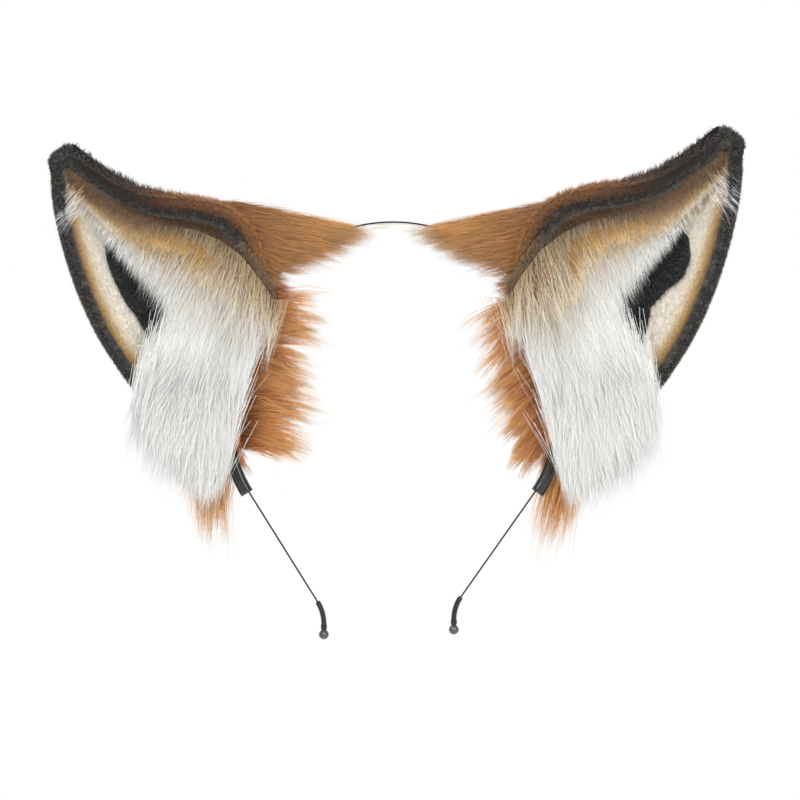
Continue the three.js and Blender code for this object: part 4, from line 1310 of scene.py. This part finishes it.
GOLDEN_COLOURS = [(0.0, linear(84, 48, 22)), (0.3, linear(150, 98, 50)), (0.55, linear(202, 144, 78)),
                  (0.8, linear(226, 176, 112)), (1.0, linear(240, 208, 160))]
sweep_pelt = pelt_material("sweep_pelt", GOLDEN_COLOURS)
sweep_hair = fur_material("sweep_hair", GOLDEN_COLOURS, tones=(0.75, 1.2), roughness=0.5)
for side, sign in SIDES.items():
    rng = seeded(side, 61)
    a, b = np.meshgrid(np.linspace(0.42, 0.9, 30), np.linspace(0.34, 0.92, 12), indexing="ij")
    x, z = np.moveaxis(sweep_place(a, b), -1, 0)
    thick = 0.4 + 2.2 * np.sin(np.pi * (b - 0.25)) * np.interp(a, [0.42, 0.65], [0.3, 1])
    sweep_shade = np.interp(x, [25, 42, 54, 66], [0.5, 0.36, 0.16, 0.12])
    faces = [np.stack([x, -3.0 + offset, z], -1) for offset in (-thick / 2, thick / 2)]
    backing = make_piece(f"{side}_sweep_pelt", *shell(*faces), sweep_pelt, side)
    give_shade(backing, sweep_shade)
    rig.replaces(backing, f"{side}_crown_tuft")
    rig.slot(backing, "tan_fur")
    turn_at = {end: (sign * x_at * MM, 0, 0) for end, x_at in zip(("start", "end"), SWEEP_BENDS)}
    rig.blend(backing, f"{side}_shoulder", f"{side}_ear", **turn_at)
    for part, (count, face_y) in enumerate(SWEEP_HAIRS):
        a, b = 0.94 * rng.uniform(0, 1, count) ** 0.7, rng.uniform(0.02, 1.02, count)
        stray = rng.uniform(size=count) < 0.12
        tip = sweep_place(a, b)
        reach = rng.uniform(*SWEEP_HAIR_LENGTH, count)
        slope = np.radians(rng.normal(size=count) * np.where(stray, 14, 6) + 4 + 12 * (1 - b))
        tip = tip + np.stack([rng.uniform(-2.5, 6, count), rng.normal(size=count) * 1.2], -1)
        tip[:, 0] = np.maximum(tip[:, 0], 2.0)
        root = tip + reach[:, None] * np.stack([np.cos(slope), np.sin(slope)], -1)
        ceiling = np.interp(root[:, 0], [4, 18, 34, 48, 62, 75], [0, 1.5, 4, 7.5, 10.5, 9])
        root[:, 1] = np.minimum(root[:, 1], ceiling)
        if face_y < 0:
            root[:, 0] = np.minimum(root[:, 0], np.interp(root[:, 1], EAR_SIDE_Z, EAR_SIDE_X) - 0.5)
            tip[:, 0] = np.minimum(tip[:, 0], root[:, 0] - 4)
        depth = face_y * np.interp(root[:, 0], [20, 60], [2.2, 4.0]) * rng.uniform(0.5, 1.2, count)
        loft = face_y * rng.uniform(0.3, 4.5, count) * np.sin(np.pi * np.clip(b, 0.1, 0.9))
        roots = np.stack([root[:, 0], depth, root[:, 1]], -1)
        tips = np.stack([tip[:, 0], depth + loft, tip[:, 1]], -1)
        straight = unit(tips - roots)
        start = unit(straight + np.array([0, 0.3 * face_y, 0.12]) + rng.normal(size=roots.shape) * 0.04)
        end = 2 * straight - start
        base_shade, end_shade = (np.interp(at[:, 0], [15, 35, 48, 58, 70], [0.6, 0.46, 0.32, 0.18, 0.14])
                                 for at in (root, tip))
        shade = np.stack([base_shade, end_shade + rng.uniform(0.0, 0.3, count) ** 1.5], 1)
        sweep = make_piece(f"{side}_crown_sweep_{part + 1}",
                           *hairs(rng, roots, start, end, np.linalg.norm(tips - roots, axis=-1) * 1.03,
                                  rng.uniform(*SWEEP_HAIR_WIDTH, count) * np.interp(a, [0, 0.4], [0.65, 1]),
                                  shade, rng.uniform(0, 1, count), segments=2, clump=0.62, wave=0.025),
                           sweep_hair, side)
        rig.slot(sweep, "tan_fur")
        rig.blend(sweep, f"{side}_shoulder", f"{side}_ear", **turn_at)

# ------------------------------------------------------------------ the fringe inside the band
# Rust-orange fur lines the inner side of the band, on the felt binding, and covers the joint between
# the ear and the head. It is coarser than the rest and parts into pointed clumps.
FRINGE_FALL = {"left": 8, "right": 42}
FRINGE_DRIFT = {"left": 34, "right": 18}
FRINGE_LENGTH = {"left": [0.7, 1.0, 0.9], "right": [0.8, 0.95, 0.55]}
FRINGE_HAIRS = 6800
FRINGE_HAIR_LENGTH = (13, 29)
FRINGE_HAIR_WIDTH = (0.065, 0.115)
RUST_COLOURS = [(0.0, linear(132, 72, 32)), (0.3, linear(204, 124, 56)), (0.65, linear(230, 168, 92)),
                (1.0, linear(244, 212, 156))]
fringe_pelt = pelt_material("fringe_pelt", RUST_COLOURS)
fringe_hair = fur_material("fringe_hair", RUST_COLOURS, tones=(0.7, 1.2), roughness=0.45, specular=0.5)
for side in SIDES:
    rng = seeded(side, 71)
    along = np.linspace(BASE_TOP_AT + 6, SLEEVE_AT - 1, 50)[:, None]
    share = np.linspace(0, 1, 10)[None]
    faces = [on_band(side, along + 0 * share, -1.2 - 6 * share + 0 * along,
                     5.6 + offset * (1.1 - share) + 0 * along) for offset in (2.4, -2.4)]
    backing = make_piece(f"{side}_fringe_pelt", *shell(*faces), fringe_pelt, side)
    give_shade(backing, 0.2)
    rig.replaces(backing, f"{side}_base_fringe")
    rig.slot(backing, "orange_fur")
    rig.ride(backing, f"{side}_shoulder")
    count = FRINGE_HAIRS
    start_at = BASE_TOP_AT + 4 + (SLEEVE_AT - BASE_TOP_AT - 5) * rng.uniform(0, 1, count) ** 0.75
    inward = rng.uniform(0.0, 7.0, count)
    roots = on_band(side, start_at, -1.2 - inward, rng.uniform(3.2, 8.0, count))
    drift = mottle(rng, np.stack([start_at, 0 * start_at, 0 * start_at], -1), 7.0) - 0.5
    fan = 22 * np.clip((start_at - SLEEVE_AT + 14) / 14, 0, 1)
    fall = np.radians(FRINGE_FALL[side] + fan + drift * FRINGE_DRIFT[side] + rng.normal(size=count) * 7)
    aim = np.stack([-np.cos(fall), rng.normal(size=count) * 0.10, -np.sin(fall)], -1)
    start = unit(aim + [0, 0, 0.25] + rng.normal(size=roots.shape) * 0.05)
    end = unit(aim + [0, 0, -0.25])
    share_of_full = np.interp(start_at, [BASE_TOP_AT, BASE_TOP_AT + 20, SLEEVE_AT], FRINGE_LENGTH[side])
    length = rng.uniform(*FRINGE_HAIR_LENGTH, count) * share_of_full
    length = length * (0.75 + 0.5 * mottle(rng, roots, 3.0)) * np.where(rng.uniform(size=count) < 0.1, 1.2, 1)
    # Dark rust at each hair's root is painted shade among the roots; the golden tips are the fur's own colour.
    shade = np.stack([np.full(count, 0.10), rng.uniform(0.6, 1.0, count)], 1)
    fringe = make_piece(f"{side}_fringe",
                        *hairs(rng, roots, start, end, length, rng.uniform(*FRINGE_HAIR_WIDTH, count), shade,
                               rng.uniform(0, 1, count), segments=3, clump=0.72, per_clump=20, wave=0.022),
                        fringe_hair, side)
    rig.slot(fringe, "orange_fur")
    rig.ride(fringe, f"{side}_shoulder")

# ------------------------------------------------------------------ fur over the ear's base
# Behind the ear the same rust-orange fur covers the felt binding and the seam, and a few longer locks
# of it hang below the ear, behind the white ones.
UNDER_X = {"left": 72.5, "right": 67}
UNDER_LEAN = {"left": -0.12, "right": -0.32}
BASE_HAIRS, UNDER_HAIRS = 7500, 1100
BASE_HAIR_LENGTH, UNDER_HAIR_LENGTH = (7, 14), (8, 34)
BASE_HAIR_WIDTH, UNDER_HAIR_WIDTH = (0.12, 0.19), (0.07, 0.115)
for side in SIDES:
    rng = seeded(side, 81)
    count = BASE_HAIRS
    start_at = rng.uniform(BASE_TOP_AT, SLEEVE_AT + 2, count)
    outwards = rng.uniform(-1.5, 7.5, count)
    roots = on_band(side, start_at, outwards, 4.2 + rng.uniform(0, 0.8, count))
    down = rng.normal(size=roots.shape) * 0.18 + [-0.35, 0.2, -0.9]
    top = np.interp(start_at, [BASE_TOP_AT, ARCH_LENGTH], [1, 0])[:, None]
    aim = unit(down * (1 - top) + top * (rng.normal(size=roots.shape) * 0.18 + [-0.9, 0.2, -0.2]))
    start = unit(aim + [0, 0.6, 0])
    end = unit(aim + [0, -0.15, 0])
    shade = np.stack([np.full(count, 0.15), rng.uniform(0.3, 0.7, count)], 1)
    cover = make_piece(f"{side}_base_fur",
                       *hairs(rng, roots, start, end, rng.uniform(*BASE_HAIR_LENGTH, count),
                              rng.uniform(*BASE_HAIR_WIDTH, count), shade, rng.uniform(0, 1, count),
                              clump=0.5), fringe_hair, side)
    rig.slot(cover, "orange_fur")
    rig.ride(cover, f"{side}_shoulder")
    count = UNDER_HAIRS
    roots = np.stack([rng.normal(size=count) * 3.6 + UNDER_X[side], rng.uniform(3, 7, count),
                      rng.uniform(-98, -84, count)], -1)
    aim = unit(np.array([UNDER_LEAN[side], -0.25, -1]) + rng.normal(size=roots.shape) * 0.08)
    shade = np.stack([np.full(count, 0.35), rng.uniform(0.5, 1.0, count)], 1)
    under = make_piece(f"{side}_under_locks",
                       *hairs(rng, place_ear(roots, side), aim, unit(aim + [0.1, 0, 0]),
                              rng.uniform(*UNDER_HAIR_LENGTH, count), rng.uniform(*UNDER_HAIR_WIDTH, count),
                              shade, rng.uniform(0, 1, count), segments=2, clump=0.5, per_clump=20),
                       fringe_hair, side)
    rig.slot(under, "orange_fur")
    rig.ride(under, f"{side}_ear")

# ------------------------------------------------------------------ floor and light
# A round pale floor lies well below the headband, inside a white surround. Three large soft lamps
# light it, from the upper left, from the right, and from above and behind.
FLOOR_RADIUS, FLOOR_Z, FLOOR_SIDES = 2000, -500, 96
floor_angle = np.linspace(0, 2 * np.pi, FLOOR_SIDES, endpoint=False)
floor_points = np.stack([FLOOR_RADIUS * np.cos(floor_angle), FLOOR_RADIUS * np.sin(floor_angle),
                         0 * floor_angle + FLOOR_Z], -1)
floor_map = 0.5 + 0.5 * np.stack([np.cos(floor_angle), np.sin(floor_angle)], -1)
pale_floor = worked_material("pale_floor", linear(246, 246, 246), linear(250, 250, 250), 0.8, 4, 1e-4,
                             specular=0.1)
floor = make_piece("floor", floor_points, [np.arange(FLOOR_SIDES)[None]], [floor_map[None]], pale_floor)
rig.stage(floor)

world = bpy.data.worlds.new("white_surround")
world.use_nodes = True
world_nodes = world.node_tree.nodes
surround = set_values(world_nodes["Background"], Color=(1, 1, 1, 1), Strength=0.9)
backdrop = set_values(world_nodes.new("ShaderNodeBackground"), Color=(1, 1, 1, 1), Strength=1.0)
seen = world_nodes.new("ShaderNodeLightPath")
either = world_nodes.new("ShaderNodeMixShader")
connect(world.node_tree, (seen, "Is Camera Ray", "Fac", either), (surround, "Background", 1, either),
        (backdrop, "Background", 2, either), (either, "Shader", "Surface", world_nodes["World Output"]))
bpy.context.scene.world = world
bpy.context.scene.view_settings.view_transform = "Standard"

for name, at, size, power in (("key_lamp", (-0.4, -1.2, 0.6), 0.8, 13.0),
                              ("fill_lamp", (0.6, -1.1, 0.1), 0.9, 7.0),
                              ("back_lamp", (0.1, 0.9, 0.8), 0.8, 5.0)):
    lamp_data = bpy.data.lights.new(name, "AREA")
    lamp_data.shape = "DISK"
    lamp_data.size = size
    lamp_data.energy = power
    lamp = bpy.data.objects.new(name, lamp_data)
    lamp.location = at
    aim = np.array([0, 0, -0.06]) - at
    lamp.rotation_euler = (np.arctan2(np.hypot(*aim[:2]), -aim[2]), 0, np.arctan2(aim[0], -aim[1]) + np.pi)
    bpy.context.scene.collection.objects.link(lamp)

# ------------------------------------------------------------------ sizes
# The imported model's box and the finished model's box are written down, so that the two can be
# compared.
low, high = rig.bounds()
with open("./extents.json", "w") as size_file:
    json.dump({"cad": [list(cad_low), list(cad_high)], "visual": [list(low), list(high)]}, size_file)
